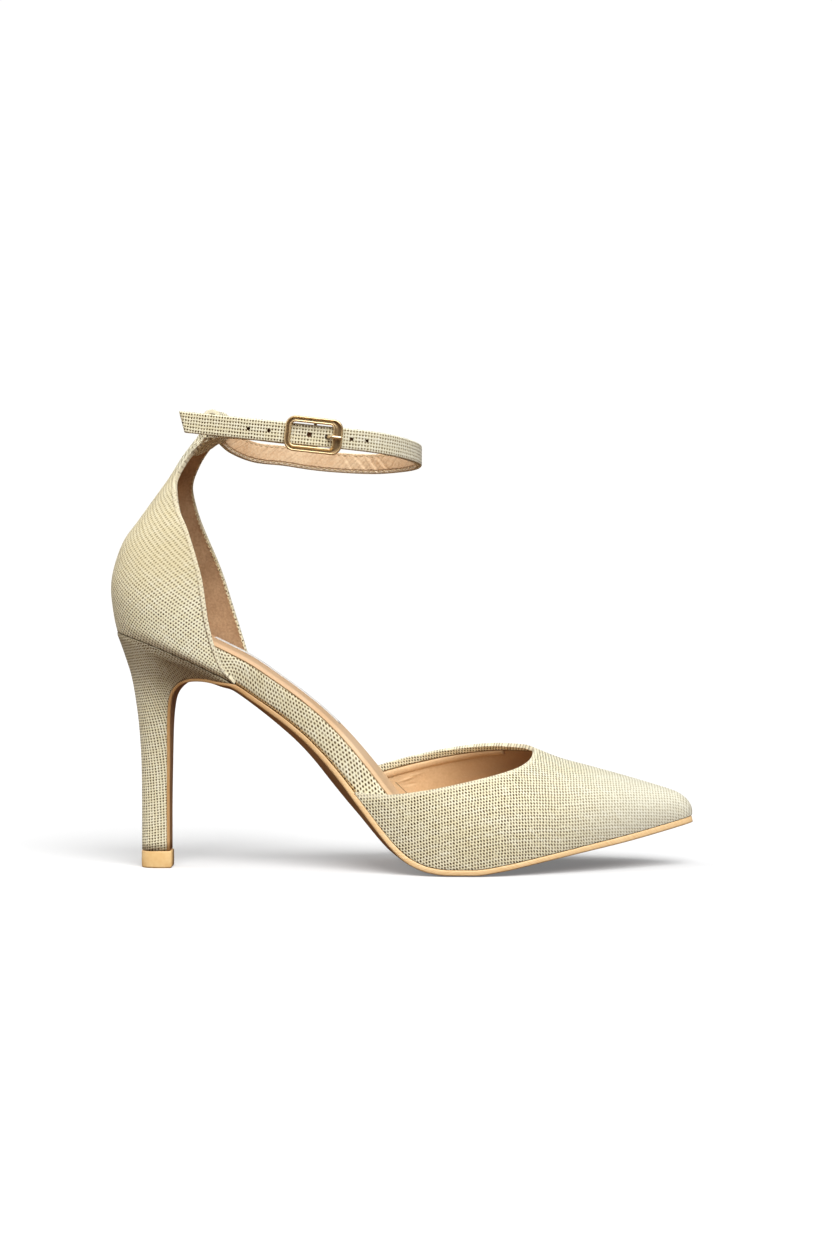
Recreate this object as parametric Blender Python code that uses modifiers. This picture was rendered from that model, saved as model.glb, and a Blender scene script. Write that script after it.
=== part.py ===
"""Right-foot stiletto heel: a vamp and a counter on a wrapped footbed, a covered heel, a buckled ankle strap.

Frame: +X to the toe, +Z up, -Y the outer side of the foot, Z = 0 the floor.
Tables and sizes are in millimetres, and the meshes are written in metres.
"""
import math

import bmesh
import bpy
import numpy as np
from mathutils import Vector

MM = 0.001

# Driving sizes
WALL = 1.6
GAP = 0.3
TOE_X = 113.5
TOE_Y = 6.0
THROAT_X = 51.2
SEAT_FRONT_X = -64.0
WAIST_INSET = 1.6
INSOLE_INSET = WALL + 0.8
SOCK_THICK = 0.9
SOCK_MARGIN = 3.4
TOP_PIECE_HEIGHT = 6.6
STRAP_WIDTH = 8.0
STRAP_THICK = 2.0
CHAPE_THICK = 1.2
BUCKLE_LENGTH = 21.5
BUCKLE_HEIGHT = 13.0
BUCKLE_CORNER = 2.2
BUCKLE_BAR = 1.5
BUCKLE_DEPTH = 1.6
CENTRE_BAR_RADIUS = 0.6
PRONG_RADIUS = 0.55
CLOSE = 0.15
TAIL_SLANT = 2.3

# Buckle's place on the strap
BUCKLE_X = -33.6
BUCKLE_Z = 166.2
STRAP_SLOPE = math.radians(6.2)
TAIL_Y = -27.5


class Table:
    """Rows with named columns, read at any x by a smooth curve that never overshoots a row."""

    def __init__(self, names, rows):
        self.names = names.split()
        self.data = np.array(sorted(rows), float)
        self.x = self.data[:, 0]
        self.tangents = [self.column_tangents(i) for i in range(len(self.names))]

    def column_tangents(self, i):
        step = np.diff(self.x)
        slope = np.diff(self.data[:, i]) / step
        tangent = np.zeros(len(self.x))
        tangent[0] = slope[0]
        tangent[-1] = slope[-1]
        for k in range(1, len(self.x) - 1):
            if slope[k - 1] * slope[k] > 0:
                before = 2 * step[k] + step[k - 1]
                after = step[k] + 2 * step[k - 1]
                tangent[k] = (before + after) / (before / slope[k - 1] + after / slope[k])
        return tangent

    def at(self, name, x):
        i = self.names.index(name)
        x = min(max(x, self.x[0]), self.x[-1])
        k = min(int(np.searchsorted(self.x, x, side="right")) - 1, len(self.x) - 2)
        h = self.x[k + 1] - self.x[k]
        t = (x - self.x[k]) / h
        start, end = self.data[k, i], self.data[k + 1, i]
        leave, arrive = self.tangents[i][k] * h, self.tangents[i][k + 1] * h
        rise = 3 * t**2 - 2 * t**3
        return (1 - rise) * start + rise * end + (t**3 - 2 * t**2 + t) * leave + (t**3 - t**2) * arrive


# Plan outline of the foot's edge: distance from Y = 0 to the outer and the inner side
OUTLINE = Table("x lat med", [
    (-111.5, 0.4, 0.4), (-110.6, 6.2, 6.2), (-108.0, 11.8, 11.8), (-103.0, 17.8, 17.8), (-97.0, 21.3, 21.3),
    (-90.0, 23.5, 23.5), (-81.0, 24.3, 24.3), (-72.0, 23.4, 23.2), (-64.0, 22.0, 21.4), (-54.0, 20.6, 19.4),
    (-44.0, 20.2, 18.8), (-34.0, 20.9, 19.8), (-24.0, 22.8, 22.8), (-14.0, 25.6, 26.4), (-4.0, 28.9, 30.0),
    (6.0, 32.2, 33.0), (16.0, 34.6, 34.8), (26.0, 35.1, 35.4), (36.0, 33.9, 34.9), (46.0, 31.2, 33.3),
    (58.0, 26.6, 30.6), (70.0, 21.2, 27.3), (82.0, 15.3, 23.5), (92.0, 10.0, 20.0), (101.0, 5.2, 16.6),
    (107.0, 1.9, 13.8), (110.5, -0.3, 11.8), (112.3, -2.2, 9.8), (113.2, -4.2, 7.8),
    (TOE_X, -TOE_Y + 0.5, TOE_Y + 0.5)])

# Height of the top of the sole and of the heel seat
BED = Table("x z", [
    (-112.0, 92.2), (-97.0, 87.1), (-85.0, 82.2), (-75.0, 77.5), (-64.0, 71.8), (-56.0, 66.4), (-46.0, 59.2),
    (-38.0, 52.6), (-30.0, 44.6), (-22.0, 35.2), (-15.0, 26.2), (-8.0, 17.2), (-2.0, 10.4), (4.0, 5.8),
    (10.0, 3.5), (17.0, 2.6), (27.0, 2.6), (37.0, 3.9), (52.0, 6.8), (69.0, 10.2), (88.0, 13.9), (102.0, 17.0),
    (TOE_X, 19.7)])

# Sole thickness at its edge and under its middle, where the waist is crowned
SOLE = Table("x edge centre", [
    (-64.0, 1.7, 3.2), (-57.0, 1.8, 3.4), (-46.0, 1.8, 4.1), (-34.0, 1.8, 4.7), (-22.0, 1.9, 5.4),
    (-11.0, 2.0, 4.6), (-5.0, 2.0, 4.4), (3.0, 2.2, 3.6), (10.0, 2.2, 3.1), (17.0, 2.2, 2.6), (27.0, 2.2, 2.6),
    (52.0, 2.1, 2.4), (88.0, 2.4, 2.5), (TOE_X, 2.4, 2.4)])

# Footbed thickness along the foot
FOOTBED = Table("x thick", [
    (-112.0, 9.4), (-60.0, 9.5), (-6.0, 9.6), (12.0, 7.0), (40.0, 4.8), (TOE_X, 3.4)])

# Ridge of the vamp: height, sideways place, and how far the side walls belly out
CREST = Table("x z y belly", [
    (-25.0, 83.0, 2.0, 1.4), (-6.0, 72.0, 2.2, 2.0), (10.0, 63.5, 2.5, 2.4), (25.0, 56.6, 2.8, 2.6),
    (40.0, 50.9, 3.2, 2.6), (THROAT_X, 46.4, 3.5, 2.5), (61.3, 42.4, 3.9, 2.4), (73.0, 39.2, 4.4, 2.1),
    (85.0, 35.9, 4.9, 1.8), (98.5, 31.9, 5.5, 1.2), (104.0, 30.2, 5.7, 0.9), (107.6, 28.8, 5.8, 0.6),
    (110.0, 27.3, 5.9, 0.4), (112.0, 25.3, 6.0, 0.2), (113.0, 23.6, 6.0, 0.1), (TOE_X, 22.2, 6.0, 0.0)])

# Vamp's top edge, outer side and inner side, from the sole's edge up to the throat
TOPLINE_LAT = Table("x z", [
    (-18.5, 31.0), (-12.0, 30.6), (-6.3, 30.5), (8.0, 32.2), (18.5, 34.2), (29.0, 36.4), (38.8, 38.7),
    (44.8, 40.6), (49.3, 43.4), (THROAT_X, 46.4)])
TOPLINE_MED = Table("x z", [
    (-22.0, 35.5), (-16.0, 36.3), (-11.0, 37.5), (-5.5, 39.1), (6.6, 42.2), (18.7, 44.8), (30.7, 46.7),
    (39.3, 47.3), (48.3, 47.2), (THROAT_X, 46.4)])

# Breast of the heel from the waist down (x z), the flap's half width there, the back of the heel (x z) at that
# level, and the heel's widest half width
BREAST = [
    (-66.4, 72.3, 21.9, -111.4, 91.3, 24.1), (-70.0, 72.8, 21.7, -111.1, 90.2, 23.8),
    (-75.6, 73.9, 20.4, -110.4, 88.4, 22.9), (-80.7, 74.0, 18.0, -109.6, 86.2, 21.4),
    (-84.7, 73.0, 15.4, -108.6, 83.4, 19.2), (-87.5, 71.1, 13.2, -107.4, 79.8, 16.6),
    (-89.6, 68.2, 11.6, -105.9, 74.8, 14.0), (-90.7, 64.0, 10.0, -104.6, 68.0, 11.6),
    (-91.3, 56.0, 8.0, -103.1, 56.8, 9.0), (-91.5, 42.0, 6.4, -102.1, 42.0, 7.0),
    (-91.7, 26.0, 5.6, -101.9, 26.0, 6.0), (-91.7, 6.9, 5.2, -101.9, 6.9, 5.6)]
FLAP_THICK = 1.7

# Counter from the seat up to the tab and over its fold: the spine at the back, the front edge, how far the
# inner side runs ahead of the outer, the half width, and the reach of the round back (0 on the flat tab)
COUNTER_COLUMNS = "back_x back_z front_x front_z twist wide reach"
COUNTER = [
    (-111.6, 92.4, -60.9, 70.3, 3.3, 24.3, 31.0), (-112.5, 97.6, -63.9, 76.6, 3.6, 25.0, 31.0),
    (-113.3, 103.0, -66.7, 84.4, 4.1, 25.4, 31.0), (-113.7, 108.2, -69.5, 93.9, 3.9, 25.6, 31.0),
    (-113.2, 114.0, -71.6, 102.7, 3.2, 25.4, 31.0), (-111.3, 121.0, -73.7, 111.8, 2.5, 24.6, 30.0),
    (-108.3, 128.0, -76.3, 120.0, 2.1, 23.4, 28.0), (-103.7, 134.2, -80.3, 130.8, 1.6, 21.2, 22.0),
    (-99.5, 140.0, -83.1, 138.3, 1.7, 18.9, 17.0), (-95.4, 145.6, -85.2, 146.3, 1.7, 16.8, 13.0),
    (-91.0, 151.8, -84.6, 152.0, 1.7, 13.9, 10.5), (-86.4, 159.4, -80.2, 159.3, 2.0, 10.2, 9.5),
    (-82.2, 165.0, -76.8, 164.8, 1.9, 7.8, 9.0), (-79.2, 167.6, -77.9, 167.6, 1.5, 7.0, 0.0),
    (-78.2, 170.4, -77.2, 170.4, 1.3, 6.7, 0.0), (-77.6, 173.4, -76.8, 173.4, 1.2, 6.5, 0.0),
    (-77.1, 175.5, -76.3, 175.5, 1.2, 6.5, 0.0), (-75.8, 177.2, -75.0, 177.2, 1.2, 6.5, 0.0),
    (-73.7, 177.9, -72.9, 177.9, 1.2, 6.5, 0.0), (-71.5, 177.2, -70.7, 177.2, 1.2, 6.5, 0.0),
    (-70.2, 175.5, -69.4, 175.5, 1.2, 6.5, 0.0), (-69.8, 171.5, -69.0, 171.5, 1.2, 6.4, 0.0),
    (-70.2, 166.2, -69.3, 166.2, 1.1, 6.0, 0.0), (-72.0, 163.6, -70.8, 163.6, 1.0, 5.6, 0.0),
    (-73.8, 162.2, -72.2, 162.2, 1.0, 5.2, 0.0), (-75.2, 161.3, -73.3, 161.3, 1.0, 4.8, 0.0)]

# Middle of the strap (x y z): the tail, the front of the ankle, the inner side, the tab, and back to the buckle
STRAP_FRONT = [
    (-84.8, -17.3, 172.2), (-75.0, -20.2, 171.0), (-63.0, -23.6, 169.5), (-52.0, -26.4, 168.2),
    (-44.0, TAIL_Y, 167.3), (-22.0, TAIL_Y, 165.0), (-10.6, -24.8, 163.8), (-2.0, -18.6, 162.5),
    (4.0, -10.0, 161.2), (6.3, 0.0, 160.2), (4.2, 10.0, 159.3), (-2.0, 18.6, 158.8), (-11.4, 24.2, 158.5),
    (-23.6, 27.6, 159.1), (-35.7, 28.4, 160.2), (-47.6, 26.4, 161.9), (-59.0, 21.2, 164.6),
    (-67.4, 13.8, 168.7), (-72.2, 6.9, 170.5), (-74.0, 0.0, 170.9), (-74.5, -6.9, 170.7),
    (-71.4, -13.8, 170.1), (-63.6, -19.0, 169.5), (-55.0, -21.6, 168.7)]

# Free holes of the tail: place along the strap, and radius
TAIL_HOLES = [(-58.2, 0.55), (-50.5, 0.6), (-35.1, 0.85), (-19.7, 0.55), (-13.7, 0.48)]

COLOURS = {
    "linen": (0.72, 0.62, 0.45), "lining": (0.72, 0.50, 0.31), "sole": (0.62, 0.42, 0.22),
    "gold": (0.55, 0.38, 0.17)}


def spaced(stops, counts):
    """Numbers from each stop to the next, with the given count of steps between them."""
    values = [stops[0]]
    for a, b, n in zip(stops, stops[1:], counts):
        values += [a + (b - a) * (i + 1) / n for i in range(n)]
    return values


def smooth_path(points, per_span):
    """Points along a Catmull-Rom curve through the given ones."""
    points = [np.array(p, float) for p in points]
    ends = [2 * points[0] - points[1]] + points + [2 * points[-1] - points[-2]]
    path = []
    for p0, p1, p2, p3 in zip(ends, ends[1:], ends[2:], ends[3:]):
        for i in range(per_span):
            t = i / per_span
            path.append(0.5 * (2 * p1 + (p2 - p0) * t + (2 * p0 - 5 * p1 + 4 * p2 - p3) * t**2
                               + (3 * p1 - p0 - 3 * p2 + p3) * t**3))
    path.append(points[-1])
    return path


def resample(line, count):
    """The line's points spread evenly along its length."""
    line = np.array(line, float)
    run = np.concatenate([[0.0], np.cumsum(np.linalg.norm(np.diff(line, axis=0), axis=1))])
    wanted = np.linspace(0.0, run[-1], count)
    return np.stack([np.interp(wanted, run, line[:, i]) for i in range(line.shape[1])], axis=1)


def u_curve(length, reach, wide, front, count):
    """Half of a rounded plan outline, as (distance from the back, half width)."""
    line = []
    for i in range(121):
        d = length * (i / 120) ** 2
        if d < reach:
            y = wide * (1 - (1 - d / reach) ** 2.1) ** (1 / 2.1)
        else:
            y = wide + (front - wide) * ((d - reach) / max(length - reach, 1e-6)) ** 1.5
        line.append((d, y))
    return resample(line, count)


def frames(path, up):
    """Each point with its direction and the side of `up` square to it, in the XZ plane."""
    result = []
    for i, p in enumerate(path):
        ahead = path[min(i + 1, len(path) - 1)] - path[max(i - 1, 0)]
        ahead = ahead / np.linalg.norm(ahead)
        normal = np.array([-ahead[1], ahead[0]]) * up
        result.append((p, normal))
    return result


def waist_inset(x):
    """How far the bare waist of the sole sits in from the upper's edge."""
    front = min(max((-16.0 - x) / 7.0, 0.0), 1.0)
    back = min(max((x + 67.0) / 6.0, 0.0), 1.0)
    return WAIST_INSET * (3 * front**2 - 2 * front**3) * (3 * back**2 - 2 * back**3)


def vamp_point(x, turn):
    """A point of the vamp's outside: turn runs from 0 at the outer sole edge to pi at the inner one."""
    low = BED.at("z", x) + GAP
    high = CREST.at("z", x)
    ridge = CREST.at("y", x)
    belly = CREST.at("belly", x)
    side = -1.0 if turn < math.pi / 2 else 1.0
    reach = OUTLINE.at("lat", x) + ridge if side < 0 else OUTLINE.at("med", x) - ridge
    rise = min(turn, math.pi - turn)
    out = reach * math.cos(rise) + belly * math.sin(2 * rise)
    return x, ridge + side * out, low + (high - low) * math.sin(rise)


def topline_x(turn):
    """Where the vamp's top edge crosses the given turn."""
    table = TOPLINE_LAT if turn < math.pi / 2 else TOPLINE_MED
    rise = min(turn, math.pi - turn)
    xs = np.linspace(table.x[0], THROAT_X, 160)
    turns = []
    for x in xs:
        low = BED.at("z", x) + GAP
        share = (table.at("z", x) - low) / (CREST.at("z", x) - low)
        turns.append(math.asin(min(max(share, 0.0), 1.0)))
    turns[0] = 0.0
    turns[-1] = math.pi / 2
    return float(np.interp(rise, np.maximum.accumulate(turns), xs))


def vamp_rows(across, along):
    rows = []
    for i in range(along + 1):
        share = 1 - (1 - i / along) ** 1.7
        row = []
        for j in range(across + 1):
            turn = math.pi * j / across
            start = topline_x(turn)
            row.append(vamp_point(start + (TOE_X - start) * share, turn))
        rows.append(row)
    return rows


def counter_row(values, half_count, first):
    row = dict(zip(COUNTER_COLUMNS.split(), values))
    sides = []
    for side in (-1, 1):
        front = row["front_x"] + side * row["twist"]
        length = front - row["back_x"]
        points = []
        if row["reach"] > 0:
            edge = row["wide"] - 0.12 * max(length - row["reach"], 0.0)
            for d, y in u_curve(length, row["reach"], row["wide"], edge, half_count):
                x = row["back_x"] + d
                z = row["back_z"] + (row["front_z"] - row["back_z"]) * d / length
                if first:
                    y = min(y, OUTLINE.at("lat" if side < 0 else "med", x))
                    z = BED.at("z", x) + GAP
                points.append((x, side * y, z))
        else:
            for a in np.linspace(0.0, 1.0, half_count):
                x = row["back_x"] + (row["front_x"] - row["back_x"]) * a * a + side * row["twist"] * a
                points.append((x, side * row["wide"] * a, row["back_z"]))
        sides.append(points)
    return np.array(sides[0][::-1] + sides[1][1:])


def counter_rows(half_count):
    keys = [counter_row(values, half_count, i == 0) for i, values in enumerate(COUNTER)]
    lower = smooth_path(keys[:14], 2)
    return lower[:-1] + keys[13:]


def sole_path():
    """Top of the sole from toe to waist, then down the breast: points, side widths and thicknesses."""
    path = []
    stops = [TOE_X - 0.5, 112.2, 106.0, 27.0, 17.0, -26.0, SEAT_FRONT_X]
    for x in spaced(stops, [3, 3, 9, 2, 12, 8]):
        inset = waist_inset(x)
        path.append((x, BED.at("z", x), OUTLINE.at("lat", x) - inset, OUTLINE.at("med", x) - inset,
                     SOLE.at("edge", x), SOLE.at("centre", x)))
    flap = [(x, z, half, half, FLAP_THICK, FLAP_THICK) for x, z, half, *rest in BREAST]
    flap[0] = (*flap[0][:4], FLAP_THICK, 2.8)
    flap[1] = (*flap[1][:4], FLAP_THICK, 2.3)
    flap = flap[:5] + smooth_path(flap[5:], 2)
    return path + [tuple(p) for p in flap]


def outsole_rings(across):
    path = sole_path()
    flap = [np.array(p[:2]) for p in path if p[0] < SEAT_FRONT_X]
    placed = bed_frames([p[0] for p in path if p[0] >= SEAT_FRONT_X]) + frames(flap, -1)
    rings = []
    for (point, normal), (x, z, lat, med, edge, centre) in zip(placed, path):
        top, bottom = [], []
        for i in range(across + 1):
            share = 2 * i / across - 1
            y = (med - lat) / 2 + share * (med + lat) / 2
            thick = centre + (edge - centre) * max(abs(share) - 0.25, 0.0) ** 2 / 0.5625
            low = point - normal * thick
            top.append((point[0], y, point[1]))
            bottom.append((low[0], y, low[1]))
        rings.append(bottom + top[::-1])
    return rings


def bed_frames(xs):
    """Points along the top of the sole, each with the direction square to it."""
    result = []
    for x in xs:
        step = np.array([0.1, BED.at("z", x + 0.05) - BED.at("z", x - 0.05)])
        step = step / np.linalg.norm(step)
        result.append((np.array([x, BED.at("z", x)]), np.array([-step[1], step[0]])))
    return result


def insole_rings():
    xs = spaced([-108.0, -107.0, -104.0, -92.0, -22.0, 12.0, 100.0, 108.0, 110.9], [1, 3, 3, 11, 7, 9, 3, 3])
    rings = []
    for (point, normal), x in zip(bed_frames(xs), xs):
        thick = FOOTBED.at("thick", x)
        shift = min(max((-85.0 - x) / 10.0, 0.0), 2.0)
        lat = OUTLINE.at("lat", x - shift) - INSOLE_INSET
        med = OUTLINE.at("med", x - shift) - INSOLE_INSET
        mid = (med - lat) / 2
        half = (med + lat) / 2
        soft = min(1.0, half / 8.0)
        profile = [(half - 1.2 * soft, 0.0), (half, 1.2), (half, thick * 0.5), (half - 0.5 * soft, thick - 2.6),
                   (half - 1.8 * soft, thick - 0.9), (half - 4.2 * soft, thick), (half * 0.4, thick)]
        side = [(mid + out, up) for out, up in profile]
        other = [(mid - out, up) for out, up in reversed(profile)]
        rings.append([(point[0] + normal[0] * (up + GAP), y, point[1] + normal[1] * (up + GAP))
                      for y, up in side + other])
    return rings


def sock_rings():
    xs = spaced([-105.5, -102.0, -92.0, -22.0, 12.0, 96.0, 104.0], [3, 3, 10, 7, 8, 3])
    rings = []
    for (point, normal), x in zip(bed_frames(xs), xs):
        base = FOOTBED.at("thick", x) + 2 * GAP
        lat = OUTLINE.at("lat", x) - INSOLE_INSET - SOCK_MARGIN
        med = OUTLINE.at("med", x) - INSOLE_INSET - SOCK_MARGIN
        end = min(1.0, max(0.35, (x + 108.5) / 6.0), max(0.35, (107.5 - x) / 9.0))
        mid = (med - lat) / 2
        half = max((med + lat) / 2, 2.5) * end
        section = [(half, base), (half - 0.3, base + SOCK_THICK), (half * 0.3, base + SOCK_THICK)]
        ys = [(mid + out, up) for out, up in section] + [(mid - out, up) for out, up in reversed(section)]
        rings.append([(point[0] + normal[0] * up, y, point[1] + normal[1] * up) for y, up in ys])
    return rings


def heel_rings(half_count):
    """Heel rings from the seat down, each a round-backed outline with a straight breast."""
    front = frames([np.array(row[:2]) for row in BREAST], -1)
    seat = (SEAT_FRONT_X - 2.6, BED.at("z", SEAT_FRONT_X - 2.6) - GAP, 22.0, -111.5, 91.8, 24.2)
    levels = [(np.array(seat[:2]), seat)]
    for (point, normal), row in zip(front, BREAST):
        levels.append((point + normal * GAP, row))
    rings = []
    for i, (point, row) in enumerate(levels):
        x, z, half, back_x, back_z, wide = row
        length = point[0] - back_x
        outline = u_curve(length, length * 0.62, wide, half, half_count)
        ring = []
        for side in (-1, 1):
            points = []
            for d, y in outline:
                level = back_z + (point[1] - back_z) * d / length
                if i == 0:
                    level = BED.at("z", back_x + d) - GAP
                    y = min(y, OUTLINE.at("lat", back_x + d + 0.1))
                points.append((back_x + d, side * y, level))
            ring.append(points)
        rings.append(ring[0][::-1] + ring[1][1:])
    return smooth_rings(rings)


def smooth_rings(rings):
    """The slender part of the heel gets a ring between each two, so that its sweep stays round."""
    keys = [np.array(ring) for ring in rings]
    return keys[:4] + smooth_path(keys[4:], 2)


def top_piece_rings(half_count):
    rings = []
    for z, inset in ((0.0, 0.35), (0.5, 0.0), (TOP_PIECE_HEIGHT, 0.0)):
        length = 12.0 - 2 * inset
        outline = u_curve(length, length * 0.55, 5.7 - inset, 5.3 - inset, half_count)
        lat = [(-102.0 + inset + d, -y, z) for d, y in outline]
        med = [(-102.0 + inset + d, y, z) for d, y in outline]
        rings.append(lat[::-1] + med[1:])
    return rings


def buckle_point(along, up, out):
    """A place on the buckle: along the strap towards the toe, up across it, and out from its middle."""
    c, s = math.cos(STRAP_SLOPE), math.sin(STRAP_SLOPE)
    return BUCKLE_X + along * c + up * s, TAIL_Y - out, BUCKLE_Z - along * s + up * c


BAR_OUT = -(STRAP_THICK / 2 + GAP + CHAPE_THICK + CLOSE + CENTRE_BAR_RADIUS)
RIM_OUT = STRAP_THICK / 2 + GAP + BUCKLE_DEPTH / 2
CHAPE_TURN = CENTRE_BAR_RADIUS + CLOSE + CHAPE_THICK / 2


def strap_rings():
    path = [(p, STRAP_THICK) for p in smooth_path(STRAP_FRONT, 3)]
    chape = ((-14.0, -4.9, 1.9), (-10.0, -4.7, 1.6), (-7.0, -4.62, 1.3), (-4.0, -4.6, CHAPE_THICK))
    for along, out, thick in chape:
        path.append((np.array(buckle_point(along, 0.0, out)), thick))
    for step in range(9):
        turn = math.pi * (step / 8 - 0.5)
        along, out = CHAPE_TURN * math.cos(turn), BAR_OUT + CHAPE_TURN * math.sin(turn)
        path.append((np.array(buckle_point(along, 0.0, out)), CHAPE_THICK))
    path.append((np.array(buckle_point(-3.0, 0.0, BAR_OUT + CHAPE_TURN)), CHAPE_THICK))
    rings = []
    for i, (p, thick) in enumerate(path):
        ahead = path[min(i + 1, len(path) - 1)][0] - path[max(i - 1, 0)][0]
        ahead = Vector(ahead).normalized()
        slope = STRAP_SLOPE if i > len(path) - 15 else 0.0
        across = Vector((math.sin(slope), 0.0, math.cos(slope)))
        across = (across - ahead * across.dot(ahead)).normalized()
        out = ahead.cross(across)
        ring = []
        for a, b in ((-1, -1), (1, -1), (1, 1), (-1, 1)):
            slant = TAIL_SLANT if i == 0 and a < 0 else 0.0
            ring.append(Vector(p) + ahead * slant + across * (a * STRAP_WIDTH / 2) + out * (b * thick / 2))
        rings.append([tuple(v) for v in ring])
    return rings


def tube_rings(path, radii, sides, closed=False, flat=None):
    """Round or oval rings along a path in buckle sizes; `flat` gives the in-plane and outward half sizes."""
    count = len(path)
    rings = []
    for i, p in enumerate(path):
        p = Vector(p)
        after = Vector(path[(i + 1) % count] if closed else path[min(i + 1, count - 1)])
        before = Vector(path[(i - 1) % count] if closed else path[max(i - 1, 0)])
        ahead = (after - before).normalized()
        guide = Vector((0, 0, 1)) if flat else Vector((0, 1, 0)) if abs(ahead.y) < 0.9 else Vector((1, 0, 0))
        one = (guide - ahead * guide.dot(ahead)).normalized()
        two = ahead.cross(one)
        size_one, size_two = (flat[1], flat[0]) if flat else (radii[i], radii[i])
        ring = []
        for k in range(sides):
            turn = 2 * math.pi * (k + 0.5) / sides
            ring.append(buckle_point(*(p + one * size_one * math.cos(turn) + two * size_two * math.sin(turn))))
        rings.append(ring)
    return rings


def buckle_frame_path():
    long_half = (BUCKLE_LENGTH - BUCKLE_BAR) / 2 - BUCKLE_CORNER
    high_half = (BUCKLE_HEIGHT - BUCKLE_BAR) / 2 - BUCKLE_CORNER
    path = []
    for corner, (sx, sy) in enumerate(((1, 1), (-1, 1), (-1, -1), (1, -1))):
        for k in range(6):
            turn = math.pi / 2 * (corner + k / 5)
            path.append((sx * long_half + BUCKLE_CORNER * math.cos(turn),
                         sy * high_half + BUCKLE_CORNER * math.sin(turn), RIM_OUT))
    return path


def centre_bar_path():
    top = (BUCKLE_HEIGHT - BUCKLE_BAR) / 2
    half = [(0.0, top, RIM_OUT), (0.0, top, 0.0), (0.0, top, BAR_OUT + 1.0), (0.0, top - 0.3, BAR_OUT + 0.3),
            (0.0, top - 1.0, BAR_OUT)]
    return half + [(0.0, -up, out) for along, up, out in reversed(half)]


def prong_path():
    hook = CENTRE_BAR_RADIUS + CLOSE + PRONG_RADIUS
    path = []
    for step in range(11):
        turn = math.radians(-70.0 - 200.0 * step / 10)
        path.append((hook * math.cos(turn), 0.0, BAR_OUT + hook * math.sin(turn)))
    rest = RIM_OUT + BUCKLE_DEPTH / 2 + GAP + 0.45
    arm = [(2.0, 0.0, BAR_OUT + hook), (3.6, 0.0, BAR_OUT + hook + 0.1), (5.1, 0.0, -1.1), (6.5, 0.0, 0.7),
           (7.8, 0.0, 2.4), (9.0, 0.0, rest - 0.15), (10.0, 0.0, rest), (10.9, 0.0, rest)]
    radii = [PRONG_RADIUS] * (len(path) + 5) + [0.52, 0.42, 0.2]
    return path + arm, radii


def link(name, bm, colour, collection, rough=0.7, metal=0.0):
    bmesh.ops.recalc_face_normals(bm, faces=bm.faces)
    mesh = bpy.data.meshes.new(name)
    bm.to_mesh(mesh)
    bm.free()
    material = bpy.data.materials.new(name)
    material.use_nodes = True
    shader = material.node_tree.nodes["Principled BSDF"]
    shader.inputs["Base Color"].default_value = (*COLOURS[colour], 1.0)
    shader.inputs["Roughness"].default_value = rough
    shader.inputs["Metallic"].default_value = metal
    mesh.materials.append(material)
    obj = bpy.data.objects.new(name, mesh)
    collection.objects.link(obj)
    return obj


def loft(rings, closed=False, ladder=True):
    """A closed skin over rings of equal count; a ladder cap pairs each ring's two halves."""
    bm = bmesh.new()
    grid = [[bm.verts.new(Vector(p) * MM) for p in ring] for ring in rings]
    count = len(rings[0])
    pairs = list(zip(grid, grid[1:])) + ([(grid[-1], grid[0])] if closed else [])
    for a, b in pairs:
        for i in range(count):
            j = (i + 1) % count
            bm.faces.new((a[i], a[j], b[j], b[i]))
    if not closed:
        for ring in (grid[0], grid[-1]):
            if not ladder:
                bm.faces.new(ring)
                continue
            i, j = 0, count - 1
            while j - i > 1:
                corners = [ring[i], ring[i + 1], ring[j - 1], ring[j]]
                bm.faces.new(corners if ring[i + 1] is not ring[j - 1] else corners[:2] + corners[3:])
                i, j = i + 1, j - 1
    return bm


def sheet(rows, cap_last):
    """An open skin over rows of equal count, with the small last row closed."""
    bm = bmesh.new()
    grid = [[bm.verts.new(Vector(p) * MM) for p in row] for row in rows]
    for a, b in zip(grid, grid[1:]):
        for i in range(len(a) - 1):
            bm.faces.new((a[i], a[i + 1], b[i + 1], b[i]))
    if cap_last:
        i, j = 0, len(grid[-1]) - 1
        while j - i > 1:
            corners = [grid[-1][i], grid[-1][i + 1], grid[-1][j - 1], grid[-1][j]]
            bm.faces.new(corners if i + 1 != j - 1 else corners[:2] + corners[3:])
            i, j = i + 1, j - 1
    return bm


def thicken(obj, outward):
    """Turns the open skin into a wall on its inner side."""
    mod = obj.modifiers.new("wall", "SOLIDIFY")
    mod.thickness = WALL * MM
    mod.offset = -1.0 if outward else 1.0
    mod.use_even_offset = True
    mod.use_rim = True


def cut(target, cutters, operation="DIFFERENCE"):
    for cutter in cutters:
        mod = target.modifiers.new(cutter.name, "BOOLEAN")
        mod.operation = operation
        mod.solver = "EXACT"
        mod.object = cutter


def block_rings(along, up, out):
    """Two rings of a box on the buckle, between the given limits."""
    corners = ((up[0], out[0]), (up[1], out[0]), (up[1], out[1]), (up[0], out[1]))
    return [[buckle_point(a, u, o) for u, o in corners] for a in along]


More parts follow.
